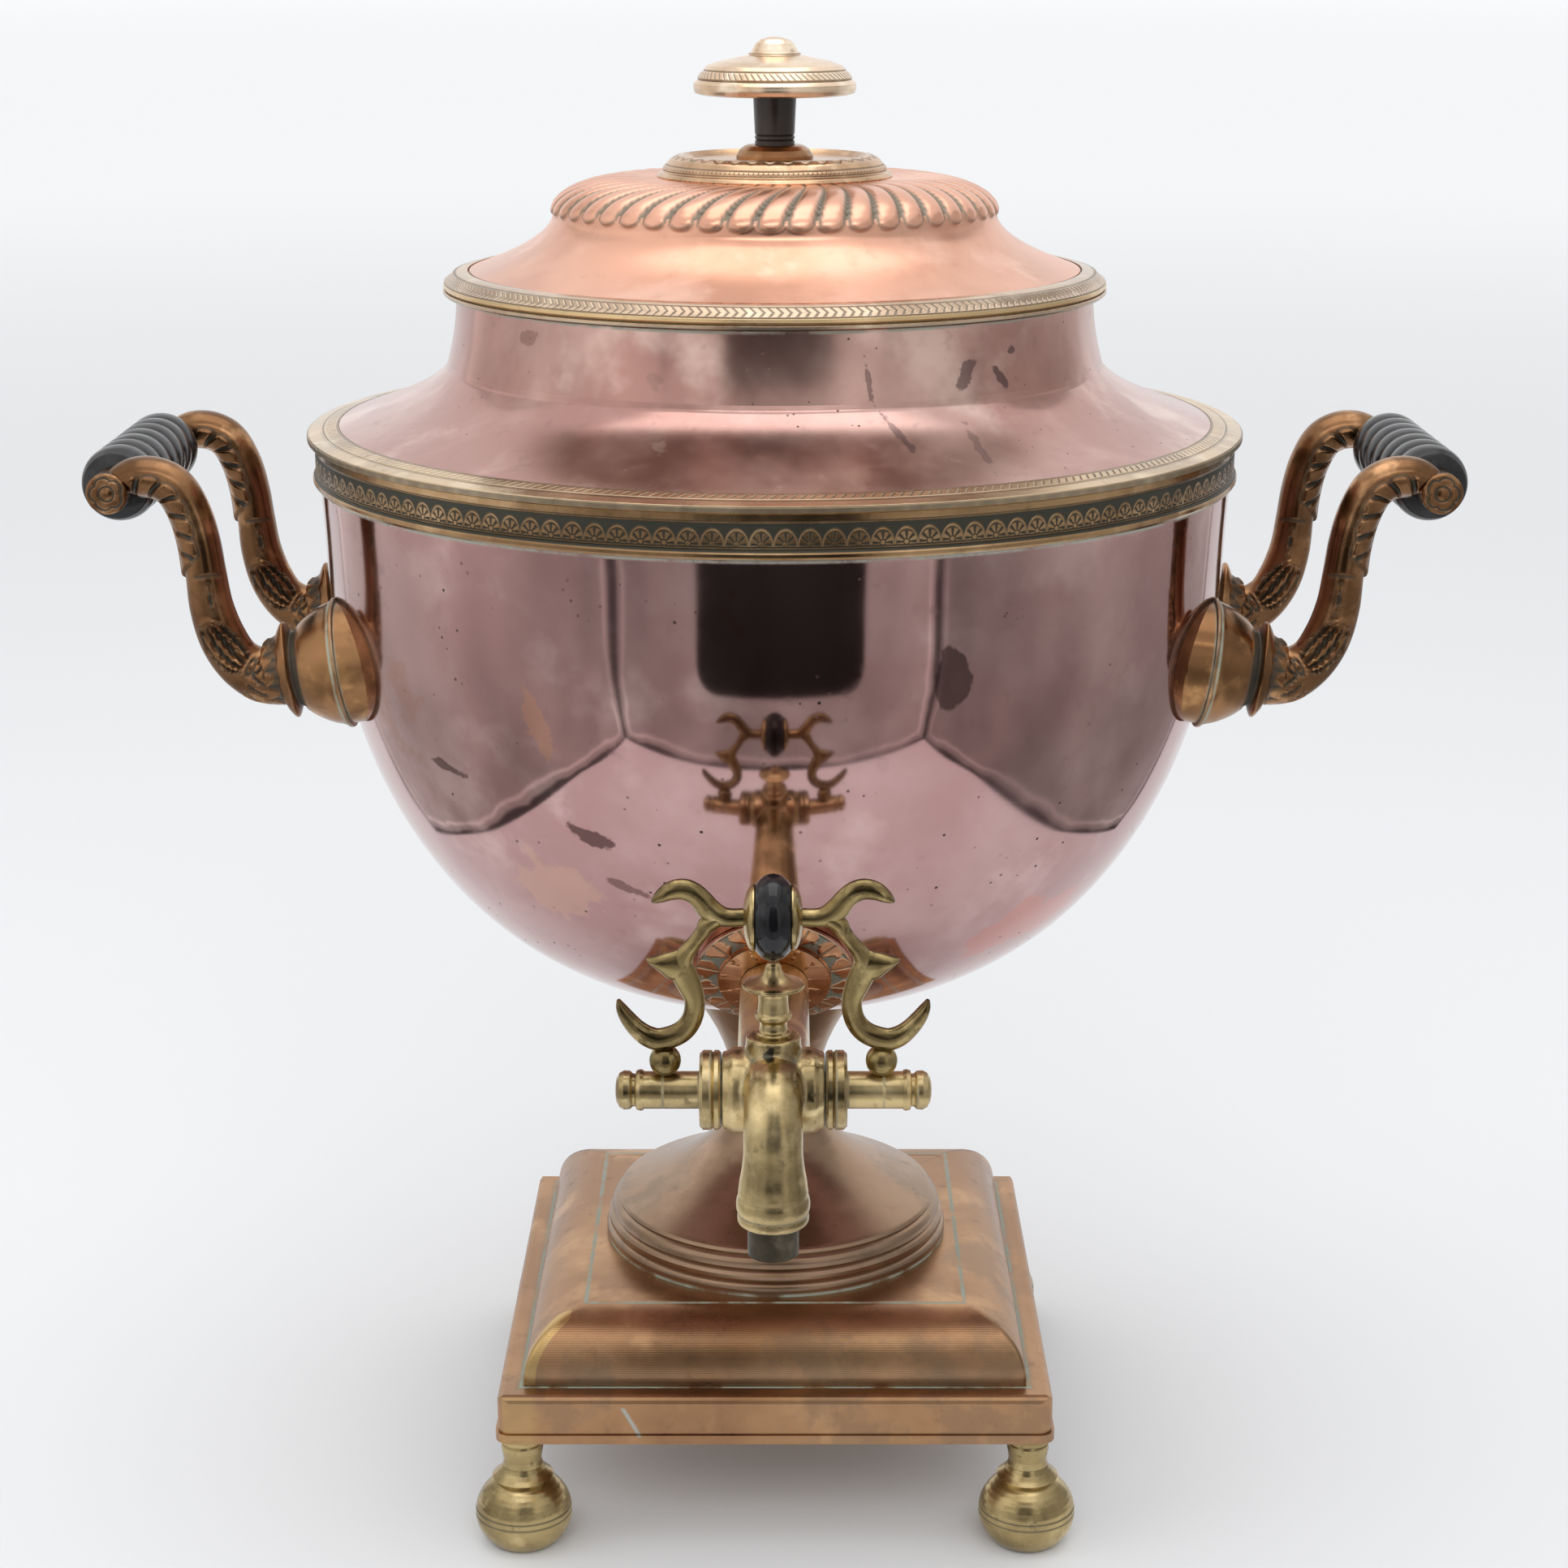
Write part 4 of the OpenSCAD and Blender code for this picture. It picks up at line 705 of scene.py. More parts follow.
# turned pieces that need a smoother line than the solid's: step along the line, steps round it, rounds of fairing
ballFoot = {"step": 0.25, "steps": 80, "finish": "brass", "body": "urn", "slot": "brass",
            "lines": {"at": (9.7, 11.5), "half": 0.4, "depth": 0.28, "dark": 0.9}}
roundPieces = {
    "bowl": {"step": 2.2, "steps": 220, "fair": 16, "finish": "bowlCopper", "body": "urn", "slot": "dark_copper",
             "dents": {"deep": 0.12, "scale": 24}},
    "shoulder": {"step": 1.0, "steps": 220, "fair": 30, "finish": "shoulderCopper", "body": "urn", "slot": "copper"},
    "neck": {"step": 1.0, "steps": 200, "fair": 30, "finish": "shoulderCopper", "body": "urn", "slot": "copper"},
    "pedestal": {"step": 0.7, "steps": 144, "fair": 3, "finish": "pedestalCopper", "body": "urn",
                 "slot": "red_copper"},
    "knob": {"step": 0.25, "steps": 120, "finish": "knobBrass", "body": "lid", "slot": "brass"},
    "lid_collar": {"step": 0.3, "steps": 144, "finish": "collarBrass", "body": "lid", "slot": "brass"},
    "knob_stem": {"step": 0.3, "steps": 64, "finish": "stemWood", "body": "lid", "slot": "ebony"},
    **{"foot_" + corner: ballFoot for corner in corners},
}


def roundPiece(name, form):
    line, closed = sectionOf(name, Matrix.Translation(middleOf(name)))
    points = faired(rounded(line, closed, form["step"] * mm), closed, form.get("fair", 0))
    bm = turned(points, closed, form["steps"])
    if "dents" in form:
        for vert in bm.verts:
            deep = form["dents"]["deep"] * mm * noise.noise(vert.co * form["dents"]["scale"])
            vert.co += vert.normal * deep
    setAt(bm, name, "Z")
    if "lines" in form:
        recess = bm.verts.layers.float["recess"]
        for vert in bm.verts:
            gap = min(abs(vert.co.z / mm - high) for high in form["lines"]["at"])
            cut = max(0.0, 1 - gap / form["lines"]["half"])
            vert.co -= vert.normal * cut * form["lines"]["depth"] * mm
            vert[recess] = form["lines"]["dark"] * min(1.0, 2 * cut)
    newPiece(name, bm, form["finish"], form["body"], form["slot"])


for name, form in roundPieces.items():
    roundPiece(name, form)

# black bead of the lever, and its brass ferrules as (distance from the lever's line, distance from the middle)
beadForm = {"radius": 10.5, "half": 5.2, "long": 6.5, "bore": 1.6, "parts": 20,
            "ferrule": [(1.6, 5.25), (6.4, 5.25), (7.7, 4.4), (8.0, 4.5), (8.05, 4.85), (7.6, 5.5), (6.7, 6.1),
                        (5.4, 6.6), (3.9, 7.0), (1.6, 7.1)]}


def beadPieces(form):
    line = [(form["bore"], -form["half"])]
    for i in range(-form["parts"], form["parts"] + 1):
        far = form["half"] * i / form["parts"]
        line.append((form["radius"] * math.sqrt(1 - (far / form["long"]) ** 2), far))
    bm = turnedLine(line + [(form["bore"], form["half"])], True, 96, 0.3)
    setAt(bm, "bead", "X")
    newPiece("bead", bm, "bead", "tap_lever", "ebony")
    for name, side in (("ferrule_left", -1), ("ferrule_right", 1)):
        line = [(r, side * far) for r, far in form["ferrule"][::side]]
        bm = turnedLine(line, True, 72, 0.25, 30)
        setAt(bm, "bead", "X")
        newPiece(name, bm, "brass", "tap_lever", "brass")


beadPieces(beadForm)

# moulding of the plinth: its quarter round drawn round a square, with softened mitres
ovoloForm = {"step": 0.7, "fair": 6, "corner": 14, "mitre": 1.3, "mitreSteps": 5}


def ovoloPiece(form):
    line, closed = sectionOf("plinth_ovolo")
    points = faired(rounded(line, closed, form["step"] * mm), closed, form["fair"], form["corner"])
    bm = turned([(p[0] * math.sqrt(2), p[1]) for p in points], closed, 4)
    bmesh.ops.rotate(bm, matrix=Matrix.Rotation(math.pi / 4, 3, "Z"), verts=bm.verts)
    mitres = []
    for edge in bm.edges:
        middle = (edge.verts[0].co + edge.verts[1].co) / 2
        if all(abs(abs(v.co.x) - abs(v.co.y)) < 1e-6 for v in edge.verts) and len(edge.link_faces) == 2:
            lead = edge.link_faces[0].normal + edge.link_faces[1].normal
            if lead.x * middle.x + lead.y * middle.y > 1e-4 and lead.z > -0.1:
                mitres.append(edge)
    bmesh.ops.bevel(bm, geom=mitres, offset=form["mitre"] * mm, offset_type="OFFSET", affect="EDGES",
                    segments=form["mitreSteps"], profile=0.5, material=-1)
    bmesh.ops.remove_doubles(bm, verts=bm.verts, dist=1e-6)
    newPiece("plinth_ovolo", bm, "plinthCopper", "urn", "red_copper", 34)


ovoloPiece(ovoloForm)
print("turned pieces ready")


def smooth(value, low, high):
    t = min(1.0, max(0.0, (value - low) / (high - low)))
    return t * t * (3 - 2 * t)


def fading(value, low, high):
    return 1 - smooth(value, low, high)


# the lobes start under the collar, swirl outwards and end in round tips over the flare
lidForm = {"lobes": 48, "inner": 32.0, "outer": 62.55, "swirl": 0.40, "rise": 0.85, "sink": 0.75, "tip": 3.9,
           "faint": 0.35, "growFrom": 33, "growTo": 54, "grooveIn": 0.10, "grooveOut": 0.22, "grooveSoft": 0.28,
           "grooveFrom": 40, "grooveTo": 60, "fall": 9.4, "steps": 480, "step": 0.55, "thin": 5, "keptBend": 8,
           "keptOut": 8, "keptIn": 2, "tipRoom": 4}


def lidPiece(form):
    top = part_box("lid")[1].z

    def nearest(r, high):
        return min(range(len(points)), key=lambda i: abs(points[i][0] - r * mm) + abs(points[i][1] - high))

    def lobesSpan():
        return nearest(form["outer"], top - form["fall"] * mm), nearest(form["inner"], top)

    line, closed = sectionOf("lid")
    points = rounded(line, closed, form["step"] * mm)
    edge, inner = lobesSpan()
    bends = [(p - points[i - 1]).angle(points[(i + 1) % len(points)] - p) for i, p in enumerate(points)]
    points = [p for i, p in enumerate(points)
              if edge - form["keptOut"] <= i <= inner + form["keptIn"] or i % form["thin"] == 0
              or bends[i] > math.radians(form["keptBend"])]
    edge, inner = lobesSpan()
    bm = turned(points, closed, form["steps"])
    recess = bm.verts.layers.float["recess"]
    along = bm.verts.layers.float["along"]
    for vert in bm.verts:
        if not edge - form["tipRoom"] <= vert[along] <= inner:
            continue
        far = (vert[along] - edge) * form["step"]
        r = math.hypot(vert.co.x, vert.co.y) / mm
        turn = math.degrees(math.atan2(vert.co.y, vert.co.x)) + form["swirl"] * (r - form["inner"])
        phase = (turn * form["lobes"] / 360) % 1
        wave = math.sin(math.pi * phase)
        side = 2 * phase - 1
        start = form["tip"] * (1 - math.sqrt(max(0.0, 1 - side * side)))
        on = smooth(far - start, -0.9, 0.5)
        grown = form["faint"] + (1 - form["faint"]) * smooth(r, form["growFrom"], form["growTo"])
        lift = form["rise"] * wave ** 0.55 * grown
        drop = form["sink"] * (1 - wave) ** 3 * grown
        vert.co += vert.normal * (on * (lift - drop)) * mm
        wide = form["grooveIn"] + form["grooveOut"] * smooth(r, form["grooveFrom"], form["grooveTo"])
        groove = fading(wave, wide, wide + form["grooveSoft"])
        rim = fading(abs(far - start), 0.1, 0.8) * 0.8 * fading(abs(side), 0.9, 1.0)
        vert[recess] = max(on * groove, rim if far - start < 0.8 else 0)
    newPiece("lid", bm, "lidCopper", "lid", "copper", 60)


lidPiece(lidForm)
print("lid ready")


def curveThrough(points, parts):
    spots = [Vector(p) for p in points]
    fine = []
    for i in range(len(spots) - 1):
        a, b, c, d = spots[max(i - 1, 0)], spots[i], spots[i + 1], spots[min(i + 2, len(spots) - 1)]
        for j in range(parts):
            t = j / parts
            fine.append(0.5 * (2 * b + t * (c - a) + t * t * (2 * a - 5 * b + 4 * c - d)
                               + t ** 3 * (3 * b - a - 3 * c + d)))
    return fine + [spots[-1]]


# draws a solid along a way of (x, z, width, depth); carve moves a point in or out and darkens it
def drawnOut(bm, way, sides, carve=None):
    spoke = bm.verts.layers.float.get("spoke") or bm.verts.layers.float.new("spoke")
    recess = bm.verts.layers.float["recess"]
    length = 0.0
    ring = None
    last = len(way) - 1
    ends = []
    for i, spot in enumerate(way):
        ahead = way[min(i + 1, last)] - way[max(i - 1, 0)]
        lead = Vector((ahead[0], ahead[1])).normalized()
        if i:
            length += math.hypot(spot[0] - way[i - 1][0], spot[1] - way[i - 1][1])
        if ring is None:
            verts = bmesh.ops.create_circle(bm, segments=sides, radius=mm)["verts"]
            for j, vert in enumerate(verts):
                vert[spoke] = j
            ring = list({e for v in verts for e in v.link_edges})
            ends.append(ring)
        else:
            grown = bmesh.ops.extrude_edge_only(bm, edges=ring)["geom"]
            verts = [g for g in grown if isinstance(g, bmesh.types.BMVert)]
            ring = [g for g in grown if isinstance(g, bmesh.types.BMEdge) and all(v in verts for v in g.verts)]
        for vert in verts:
            turn = 2 * math.pi * vert[spoke] / sides
            u = spot[2] / 2 * math.cos(turn)
            v = spot[3] / 2 * math.sin(turn)
            if carve:
                move, dark = carve(length, math.degrees(turn))
                grow = 1 + move / max(math.hypot(u, v), 0.5)
                u, v = u * grow, v * grow
                vert[recess] = dark
            vert.co = Vector((spot[0] + lead[1] * u, v, spot[1] - lead[0] * u)) * mm
    ends.append(ring)
    for loop in ends:
        bmesh.ops.holes_fill(bm, edges=loop, sides=sides)


# turns a piece drawn for the right-hand side to its own side, and stands it in its place
def setSide(bm, sideX, place):
    if sideX < 0:
        bmesh.ops.scale(bm, vec=(-1, 1, 1), verts=bm.verts)
    bmesh.ops.transform(bm, matrix=place, verts=bm.verts)


# an arm's way from its scroll to its cup, heights from the cup's middle, and its ornaments by their place on the way
armForm = {
    "way": [(183.4, 48.8, 7, 11), (180, 51.8, 8.8, 11), (175.6, 53.1, 10.2, 12), (170, 52.6, 10.6, 12),
            (165, 49.4, 10.8, 12), (161.4, 42.46, 10.9, 12), (159.35, 34.16, 11, 12), (158.33, 25.38, 11.3, 12),
            (157.31, 16.1, 12.2, 12), (154.75, 7.32, 13.2, 12), (150.66, 0.49, 13.6, 12.8),
            (144.52, -3.32, 16, 14.6), (138.18, -2.43, 21, 18), (134.72, -1.94, 24, 22), (132.24, -1.594, 26.6, 25.2)],
    "middle": (41.0, 256.6), "parts": 18, "sides": 72,
    "longLeaf": {"from": 8, "to": 46.3, "pitch": 6.2, "sweep": 4.2, "reach": 96, "narrower": 9, "pointed": 87,
                 "rise": 0.75, "spine": 0.35, "veins": 1.2, "dark": 0.95, "border": 0.75},
    "tipLine": {"at": 47.4, "bow": 1.6, "middle": 95, "sides": (60, 150), "deep": 0.22, "dark": 0.7},
    "eye": {"at": 52.6, "turn": 104, "long": 3.6, "wide": 9.5, "lip": 0.28, "deep": 0.65, "dark": 0.9,
            "border": 0.45},
    "fan": {"from": 57.6, "to": 76.4, "turn": 78, "lean": 30, "narrow": 9, "spread": 35, "flutes": 1.75,
            "scallops": 3.2, "rise": 0.6, "deep": 1.6, "dark": 0.95, "border": 0.75},
    "knot": {"at": 76.9, "turn": 112, "long": 1.3, "wide": 24, "deep": 0.4, "dark": 0.9},
    "backLeaf": {"from": 77.8, "to": 82.6, "turn": 98, "pitch": 25, "sweep": 20, "rise": 0.4, "veins": 0.9,
                 "dark": 0.9},
    "collar": {"at": 88.3, "room": 7, "rise": 0.2, "tips": 2.2, "foot": 1.9, "footDark": 0.9, "leaf": 0.6,
               "leafTurn": 30, "dark": 0.95},
}


# each ornament tells how far a point of the arm moves out and how dark it gets; length is the point's place on the
# way, and away its angle from the arm's outer line
def longLeaf(length, away, form):
    start, end = form["from"], form["to"]
    if not start - 3 < length < end + 1:
        return 0, 0
    reach = form["reach"] - form["narrower"] * smooth(length, 20, 38)
    reach -= form["pointed"] * smooth(length, 39.5, end + 0.6)
    ridge = math.sin(math.pi * (((length - form["sweep"] * away / max(reach, 1)) / form["pitch"]) % 1))
    edge = reach * (0.86 + 0.14 * ridge ** 0.5)
    on = smooth(edge - away, -3, 5) * smooth(length, start - 3, start) * fading(length, end - 0.3, end + 0.4)
    vein = fading(ridge, 0.18, 0.58) * smooth(away, 8, 26)
    # painted shade: a dark line just outside the leaf's edge, with no cut in the metal
    border = fading(abs(away - edge - 5), 1.5, 6) * (1 - on) * smooth(length, start, start + 4)
    return (on * (form["rise"] + form["spine"] * fading(away, 4, 12) - form["veins"] * vein),
            max(form["dark"] * on * vein, form["border"] * border))


def tipLine(length, away, form):
    if not form["sides"][0] < away < form["sides"][1]:
        return 0, 0
    gap = abs(length - form["at"] + form["bow"] * math.cos(math.radians(away - form["middle"])))
    return -form["deep"] * fading(gap, 0.2, 0.7), form["dark"] * fading(gap, 0.2, 0.8)


def eye(length, away, form):
    gap = math.hypot((length - form["at"]) / form["long"], (away - form["turn"]) / form["wide"])
    # the dark ring just outside the eye's lip is painted shade
    return (form["lip"] * fading(gap, 0.75, 1.35) - form["deep"] * fading(gap, 0.3, 0.75),
            max(form["dark"] * fading(gap, 0.45, 0.85), form["border"] * fading(abs(gap - 1.3), 0.05, 0.25)))


def fan(length, away, form):
    share = (length - form["from"]) / (form["to"] - form["from"])
    if not -0.1 < share < 1.02:
        return 0, 0
    spread = form["narrow"] + form["spread"] * math.sin(math.pi * min(1.0, max(0.0, share))) ** 0.7
    row = (away - form["turn"] - form["lean"] * share) / spread
    ridge = math.sin(math.pi * ((row * form["flutes"] + 0.5) % 1))
    scallop = 0.96 + 0.13 * abs(math.sin(form["scallops"] * math.pi * share))
    on = smooth(scallop - abs(row), -0.10, 0.08) * smooth(share, -0.04, 0.08) * fading(share, 0.97, 1.02)
    hollow = fading(ridge, 0.42, 0.86) * smooth(share, 0.04, 0.24) * fading(share, 0.84, 0.98)
    # painted shade: a dark line just outside the fan's scalloped edge, with no cut in the metal
    border = fading(abs(abs(row) - scallop - 0.08), 0.02, 0.13) * smooth(share, 0.0, 0.1) * (1 - on)
    return (on * (form["rise"] - form["deep"] * hollow),
            max(form["dark"] * on * hollow, form["border"] * border))


def knot(length, away, form):
    gap = math.hypot((length - form["at"]) / form["long"], (away - form["turn"]) / form["wide"])
    edge = fading(abs(gap - 0.8), 0.1, 0.4)
    return -form["deep"] * edge, form["dark"] * edge


def backLeaf(length, away, form):
    share = (length - form["from"]) / (form["to"] - form["from"])
    if not 0 < share < 1:
        return 0, 0
    slant = abs(away - form["turn"])
    ridge = math.sin(math.pi * (((slant - form["sweep"] * share) / form["pitch"]) % 1))
    on = smooth(share, 0, 0.15) * fading(share, 0.85, 1) * fading(slant, 62, 74)
    vein = fading(ridge, 0.25, 0.75)
    return on * (form["rise"] - form["veins"] * vein), form["dark"] * on * vein


def collar(length, away, form):
    near = length - form["at"]
    if near < -form["room"]:
        return 0, 0
    tips = 0.5 + 0.5 * math.cos(math.radians(2 * away))
    zigzag = abs(((away / form["leafTurn"]) % 1) * 2 - 1)
    lip = fading(abs(near), 0.0, 2.6)
    leaf = smooth(near + 5.6 - 2.6 * zigzag, -0.15, 0.35) * fading(near, 0.5 * zigzag - 2.3, 0.5 * zigzag - 1.7)
    leaf *= 1 - 0.8 * fading(abs(zigzag - 0.5), 0.10, 0.22)
    move = lip * (form["rise"] + form["tips"] * tips ** 3) - form["foot"] * smooth(near, 0.5, 2.2)
    return move - form["leaf"] * leaf, max(form["dark"] * leaf, form["footDark"] * smooth(near, 0.9, 2.2))


ornaments = {"longLeaf": longLeaf, "tipLine": tipLine, "eye": eye, "fan": fan, "knot": knot, "backLeaf": backLeaf,
             "collar": collar}


def armCarving(length, turn):
    cuts = [ornament(length, abs(180 - turn), armForm[name]) for name, ornament in ornaments.items()]
    return sum(move for move, dark in cuts), max(dark for move, dark in cuts)


# flower in the middle of an arm's scroll, cut on both its faces
flowerForm = {"radius": 5.7, "half": 6.25, "edge": 0.5, "petalAt": 0.64, "petalWave": 0.17, "eyeAt": 0.36, "cut": 0.32}


def flowerDisc(form):
    radius, half, edge = form["radius"], form["half"], form["edge"]
    line = [(0, -half), (radius - edge, -half), (radius, -half + edge), (radius, half - edge), (radius - edge, half),
            (0, half)]
    bm = turnedLine(line, False, 80, 0.28)
    recess = bm.verts.layers.float["recess"]
    for vert in bm.verts:
        r = math.hypot(vert.co.x, vert.co.y) / mm
        if r > radius - 0.7 or abs(vert.co.z) < (half - 0.2) * mm:
            continue
        wave = abs(math.cos(2.5 * math.atan2(vert.co.y, vert.co.x))) ** 0.7
        petal = radius * (form["petalAt"] + form["petalWave"] * wave)
        cut = max(fading(abs(r - petal), 0.15, 0.5), fading(abs(r - radius * form["eyeAt"]), 0.12, 0.42))
        vert.co.z -= math.copysign(form["cut"] * mm * cut, vert.co.z)
        vert[recess] = 0.95 * cut
    return bm


def armPiece(name, sideX, sideY):
    bm = bmesh.new()
    bm.verts.layers.float.new("recess")
    drawnOut(bm, curveThrough(armForm["way"], armForm["parts"]), armForm["sides"], armCarving)
    disc = flowerDisc(flowerForm)
    scroll = Vector((armForm["way"][0][0], 0, armForm["way"][0][1])) * mm
    place = Matrix.Translation(scroll) @ Matrix.Rotation(math.pi / 2, 4, "X")
    bmesh.ops.transform(disc, matrix=place, verts=disc.verts)
    held = bpy.data.meshes.new("held")
    disc.to_mesh(held)
    disc.free()
    bm.from_mesh(held)
    bpy.data.meshes.remove(held)
    across, high = armForm["middle"]
    setSide(bm, sideX, Matrix.Translation(Vector((0, sideY * across, high)) * mm))
    newPiece(name, bm, "bronze", "urn", "bronze", 50)


# riveted ends of the grips' rods, flush in the middle of the flowers
rodForm = {"half": 47.55, "radius": 1.75, "shaft": 2.05, "shaftHalf": 46, "dome": 0.06, "edge": 0.45}


def rodPiece(name, form):
    half, end, shaft = form["half"], form["radius"], form["shaft"]
    rivet = [(0, half), (end * 0.6, half - form["dome"]), (end, half - form["edge"]), (shaft, form["shaftHalf"])]
    bm = turnedLine([(r, -far) for r, far in rivet] + rivet[::-1], False, 40)
    setAt(bm, name, "Y")
    newPiece(name, bm, "bronze", "urn", "old_brass", 40)


# grips with broad soft ribs and a plain end at each side
gripForm = {"ribs": 7, "ribSteps": 12, "rise": 1.15, "end": 1.6, "bore": 2.15, "lip": [(1.7, 0), (1.3, 0.4)]}


def gripPiece(name, form):
    low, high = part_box(name)
    half, radius = (high.y - low.y) / 2 / mm, (high.z - low.z) / 2 / mm
    pitch = 2 * (half - form["end"]) / form["ribs"]
    line = [(form["bore"], -half)] + [(radius - deep, -half + far) for deep, far in form["lip"]]
    for i in range(form["ribs"] * form["ribSteps"] + 1):
        share = (i / form["ribSteps"]) % 1
        line.append((radius - form["rise"] * (1 - abs(math.sin(math.pi * share)) ** 0.6),
                     -half + form["end"] + pitch * i / form["ribSteps"]))
    line += [(radius - deep, half - far) for deep, far in form["lip"][::-1]] + [(form["bore"], half)]
    bm = turnedLine(line, True, 72)
    setAt(bm, name, "Y")
    newPiece(name, bm, "ebony", "urn", "ebony", 50)


for name in ("grip_rod_left", "grip_rod_right"):
    rodPiece(name, rodForm)
for name in ("grip_left", "grip_right"):
    gripPiece(name, gripForm)

# domed cups of the handles, as (distance from the axis, height over the flange); the foot is laid on the bowl
cupForm = {"out": 120.9, "across": 41, "high": 256.6, "droop": 8, "sunk": 0.25,
           "feelFrom": 30, "feelOver": 50, "flange": 17, "green": ((0.9, 0.15, 0.85), (-0.7, 0.2, 0.5)),
           "dirtAt": 11.2, "dirt": 0.8,
           "line": [(0, -9), (12, -9), (17.15, -9), (17.25, -0.7), (18.25, -0.45), (18.45, 0.1), (18.25, 0.6),
                    (17.75, 0.8), (17.65, 1.25), (17.35, 1.9), (16.6, 4.2), (15.2, 7.1), (13.7, 9.5), (12.1, 11.35),
                    (0, 11.35)]}
bowlSkin = BVHTree.FromPolygons([v.co for v in nodes["bowl"].data.vertices],
                                [p.vertices for p in nodes["bowl"].data.polygons])


def cupPiece(name, sideX, sideY, form):
    bm = turnedLine(form["line"], False, 112, 0.6, 40)
    green = bm.verts.layers.float.new("green")
    recess = bm.verts.layers.float["recess"]
    for vert in bm.verts:
        high = vert.co.z / mm
        if math.hypot(vert.co.x, vert.co.y) / mm > form["flange"]:
            vert[green] = sum(share * fading(abs(high - at), half, 0.5) for at, half, share in form["green"])
        vert[recess] = form["dirt"] * fading(abs(high - form["dirtAt"]), 0.1, 0.8)
    place = Matrix.Translation((sideX * form["out"] * mm, sideY * form["across"] * mm, form["high"] * mm)) \
        @ Matrix.Rotation(math.radians(sideX * (90 + form["droop"])), 4, "Y")
    lead = place.to_3x3() @ Vector((0, 0, 1))
    for vert in bm.verts:
        spot = place @ vert.co
        met = bowlSkin.ray_cast(spot + lead * form["feelFrom"] * mm, -lead, form["feelOver"] * mm)[0]
        short = (met - spot).dot(lead) - form["sunk"] * mm if met else 0
        vert.co.z += max(0, short)
    bmesh.ops.transform(bm, matrix=place, verts=bm.verts)
    newPiece(name, bm, "cupCopper", "urn", "copper", 50)


for corner, sides in corners.items():
    cupPiece("cup_" + corner, *sides, cupForm)
for corner, sides in corners.items():
    armPiece("arm_" + corner, *sides)
print("arms ready")

# the rounded castings of the lever, drawn in its leaning plane as (x, height, width)
lyreForm = {
    "lean": 8, "thick": 4.4, "ball": (26.4, 8.3, 3.9), "parts": 8, "sides": 28,
    "ways": [
        [(5.5, 47.3, 4.4), (10.4, 47.1, 4.6), (13.2, 47.8, 5.4), (15.4, 49.5, 5.8), (17.1, 51.9, 5.3),
         (19.3, 53.9, 5.3), (21.8, 54.7, 5.2), (24.4, 54.2, 4.6), (26.4, 53.1, 3.4), (27.9, 52.1, 2.1),
         (28.8, 51.4, 0.8)],
        [(13.2, 47, 4.2), (15.7, 45.3, 4.4), (17, 43.2, 3.7), (18.7, 40.7, 3.5), (20.6, 38.1, 4.2),
         (21.8, 35.4, 5.2), (21.6, 32.6, 6.2), (20.4, 29.4, 6), (19.1, 25.6, 5.1), (19.2, 21.6, 5),
         (20.5, 18.2, 5.2), (23.1, 15.6, 5.6), (27.4, 14.1, 5.8), (30.4, 14.9, 5.4), (33, 17, 4.6),
         (35.3, 20, 3.8), (36.8, 22.8, 2.6), (37.4, 24.8, 1)],
        [(21, 34.2, 7.4), (23.9, 34.4, 7.9), (26.4, 35, 5.4), (28.9, 35.6, 2.4), (30.4, 36, 0.6)]],
}


def lyrePiece(name, sideX, form):
    bm = bmesh.new()
    bm.verts.layers.float.new("recess")
    for way in form["ways"]:
        deep = [(*q, min(form["thick"], 1.3 * q[2] + 0.4)) for q in way]
        drawnOut(bm, curveThrough(deep, form["parts"]), form["sides"])
    x, z, radius = form["ball"]
    bmesh.ops.create_uvsphere(bm, u_segments=32, v_segments=20, radius=radius * mm,
                              matrix=Matrix.Translation(Vector((x, 0, z)) * mm))
    axle = middleOf("plug")
    setSide(bm, sideX, Matrix.Translation((0, axle.y, axle.z)) @ Matrix.Rotation(math.radians(form["lean"]), 4, "X"))
    newPiece(name, bm, "lyreBrass", "tap_lever", "brass", 60)


lyrePiece("lyre_left", -1, lyreForm)
lyrePiece("lyre_right", 1, lyreForm)
print("lever ready")

# the tap's body is one casting: its joins are filled soft, and dirt lies in its hollows
castForm = {"voxel": 0.5, "rounds": 9, "crispBelow": 161.5, "hollow": (0.009, 0.042)}


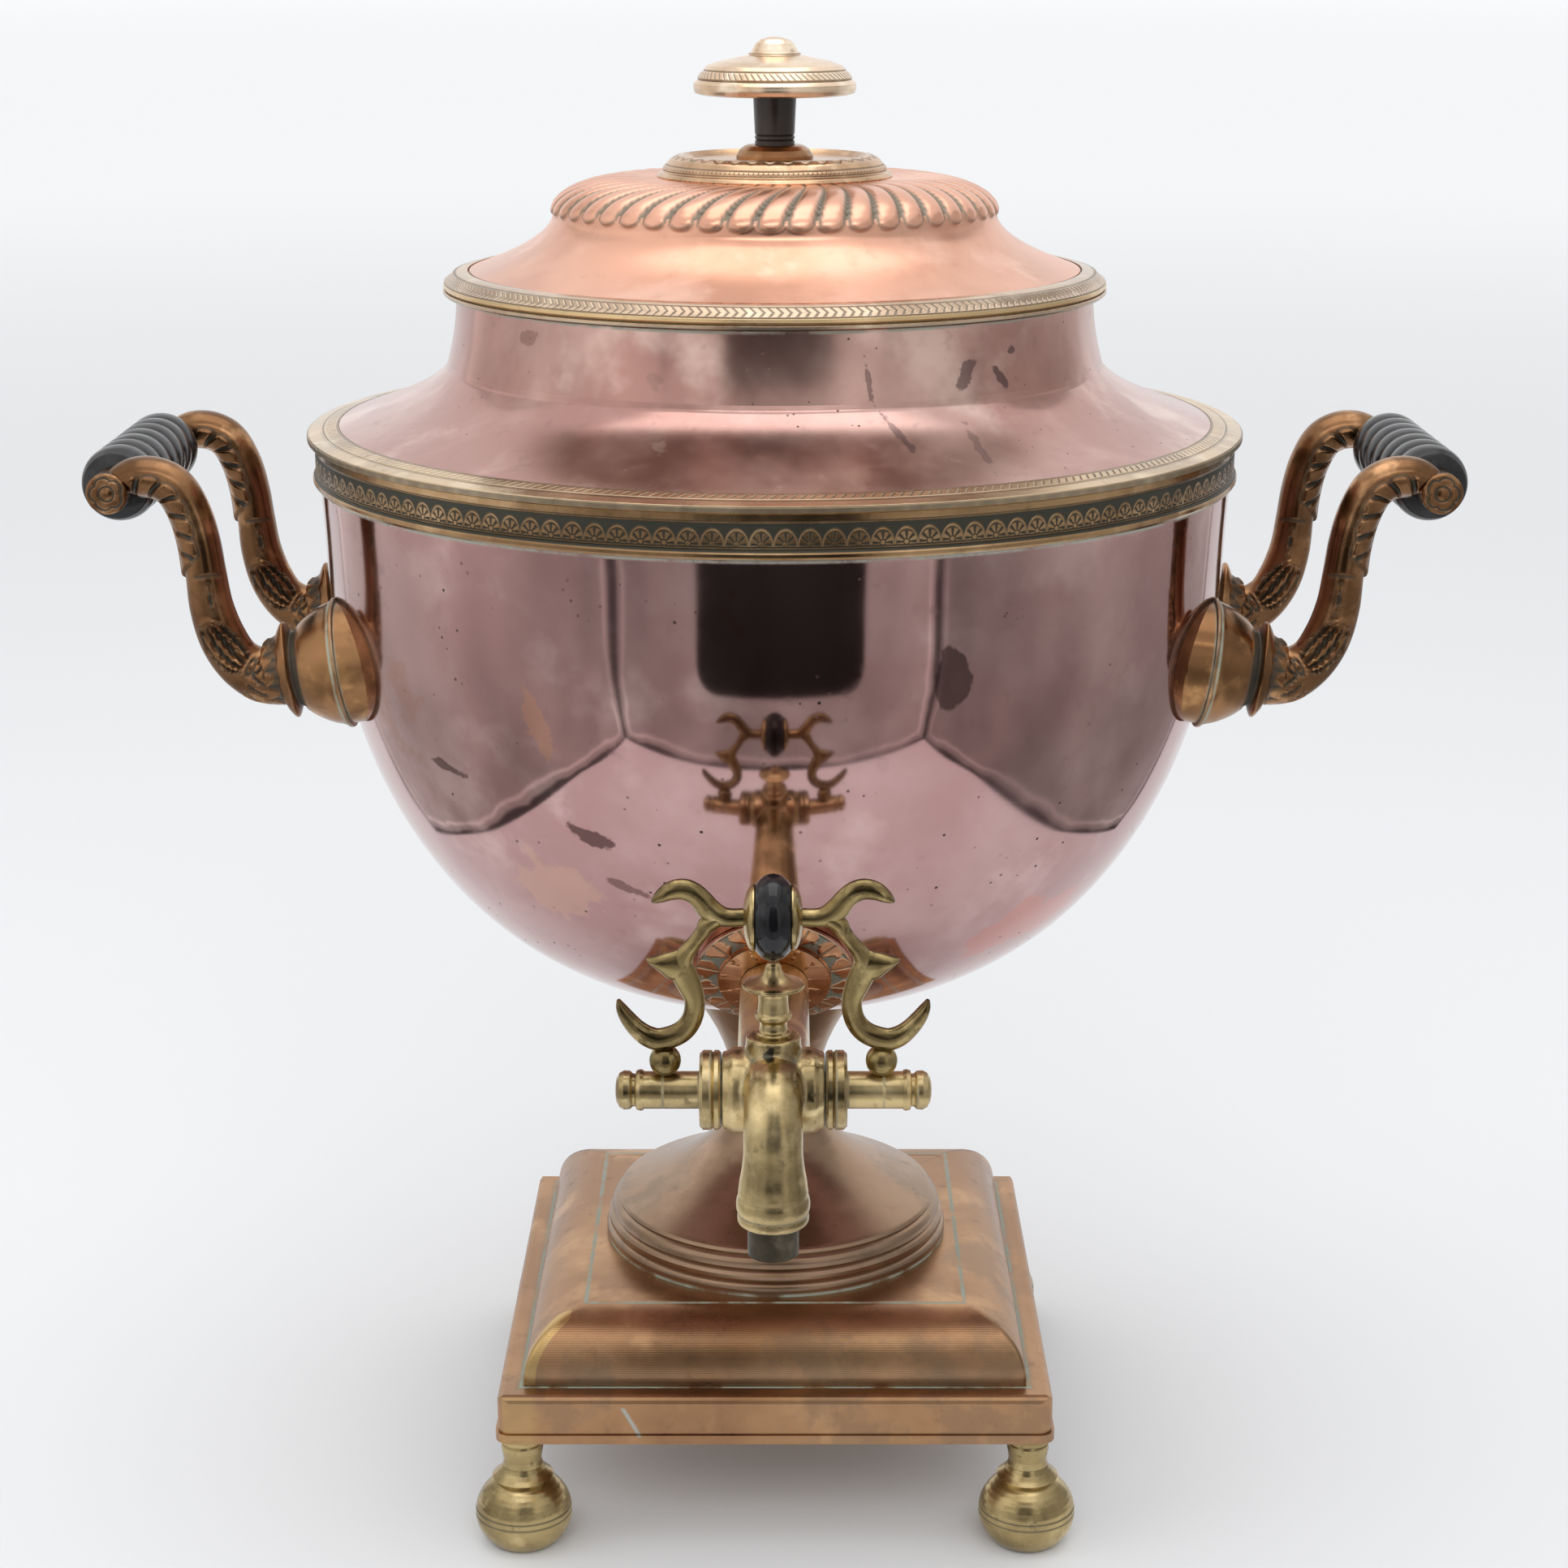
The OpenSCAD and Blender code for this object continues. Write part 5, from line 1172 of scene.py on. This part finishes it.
def castPiece(name, form):
    bm = bmesh.new()
    bm.from_mesh(nodes[name].data)
    bmesh.ops.remove_doubles(bm, verts=bm.verts, dist=2e-6)
    mesh = bpy.data.meshes.new("rough")
    bm.to_mesh(mesh)
    bm.free()
    rough = bpy.data.objects.new("rough", mesh)
    scene.collection.objects.link(rough)
    remesh = rough.modifiers.new("skin", "REMESH")
    remesh.mode = "VOXEL"
    remesh.voxel_size = form["voxel"] * mm
    skin = bpy.data.meshes.new_from_object(rough.evaluated_get(bpy.context.evaluated_depsgraph_get()))
    bpy.data.objects.remove(rough)
    bm = bmesh.new()
    bm.from_mesh(skin)
    recess = bm.verts.layers.float.new("recess")
    for i in range(form["rounds"]):
        soft = bm.verts if i < 1 else [v for v in bm.verts if v.co.z > form["crispBelow"] * mm]
        bmesh.ops.smooth_vert(bm, verts=list(soft), factor=0.5, use_axis_x=True, use_axis_y=True, use_axis_z=True)
    bm.normal_update()
    for vert in bm.verts:
        ring = [e.other_vert(vert).co for e in vert.link_edges]
        hollow = (sum(ring, Vector()) / len(ring) - vert.co).dot(vert.normal) / mm
        vert[recess] = smooth(hollow, *form["hollow"])
    newPiece(name, bm, "tapBrass", "urn", "brass", 60)


castPiece("tap_body", castForm)

# finial of the tap: its seat's height, and its line as (distance from the axis, height over the seat)
finialForm = {"seat": 195.4,
              "line": [(0, -4), (2, -4), (2, 0), (4.4, 0), (4.5, 0.5), (4.1, 0.9), (3.6, 1.2), (3.3, 2.4), (3.5, 3.6),
                       (4.3, 4.4), (4.5, 4.9), (4.3, 5.4), (3.9, 5.9), (3.7, 7.2), (3.6, 9.4), (3.8, 11), (4.3, 11.6),
                       (5.4, 12.0), (7.3, 12.3), (7.6, 12.65), (7.55, 13), (7, 13.35), (5.4, 13.9), (3.9, 14.6),
                       (2.7, 15.6), (2, 16.8), (1.7, 18), (1.2, 18.4), (0, 18.4)]}


def finialPiece(form):
    bm = turnedLine(form["line"], False, 96, 0.25, 50)
    bmesh.ops.translate(bm, vec=(0, middleOf("tap_finial").y, form["seat"] * mm), verts=bm.verts)
    newPiece("tap_finial", bm, "tapBrass", "urn", "old_brass", 50)


finialPiece(finialForm)
print("tap ready")

# solids that are seen as they are
dressed = {
    "innerCopper": ["heater_sleeve", "sleeve_cover"],
    "plinthCopper": ["plinth_panel", "plinth_slab", "base_plate"],
    "rosetteCopper": ["rosette"],
    "tapBrass": ["plug", "plug_cap", "button_left", "button_right"],
    "brass": ["corner_blocks", "handle_studs", "handle_pads", "handle_nuts", "tail_pad", "tail_nut", "knob_nut"],
    "bandBrass": ["band"],
    "flangeBrass": ["flange"],
    "bronze": ["stem_washer"],
    "rimBronze": ["rim"],
    "darkIron": ["nozzle", "knob_rod", "centre_bolt", "centre_nut", "bead_pin", "heating_iron"],
}
for finish, group in dressed.items():
    for node in group:
        dress(node, finish)
print("solids dressed")
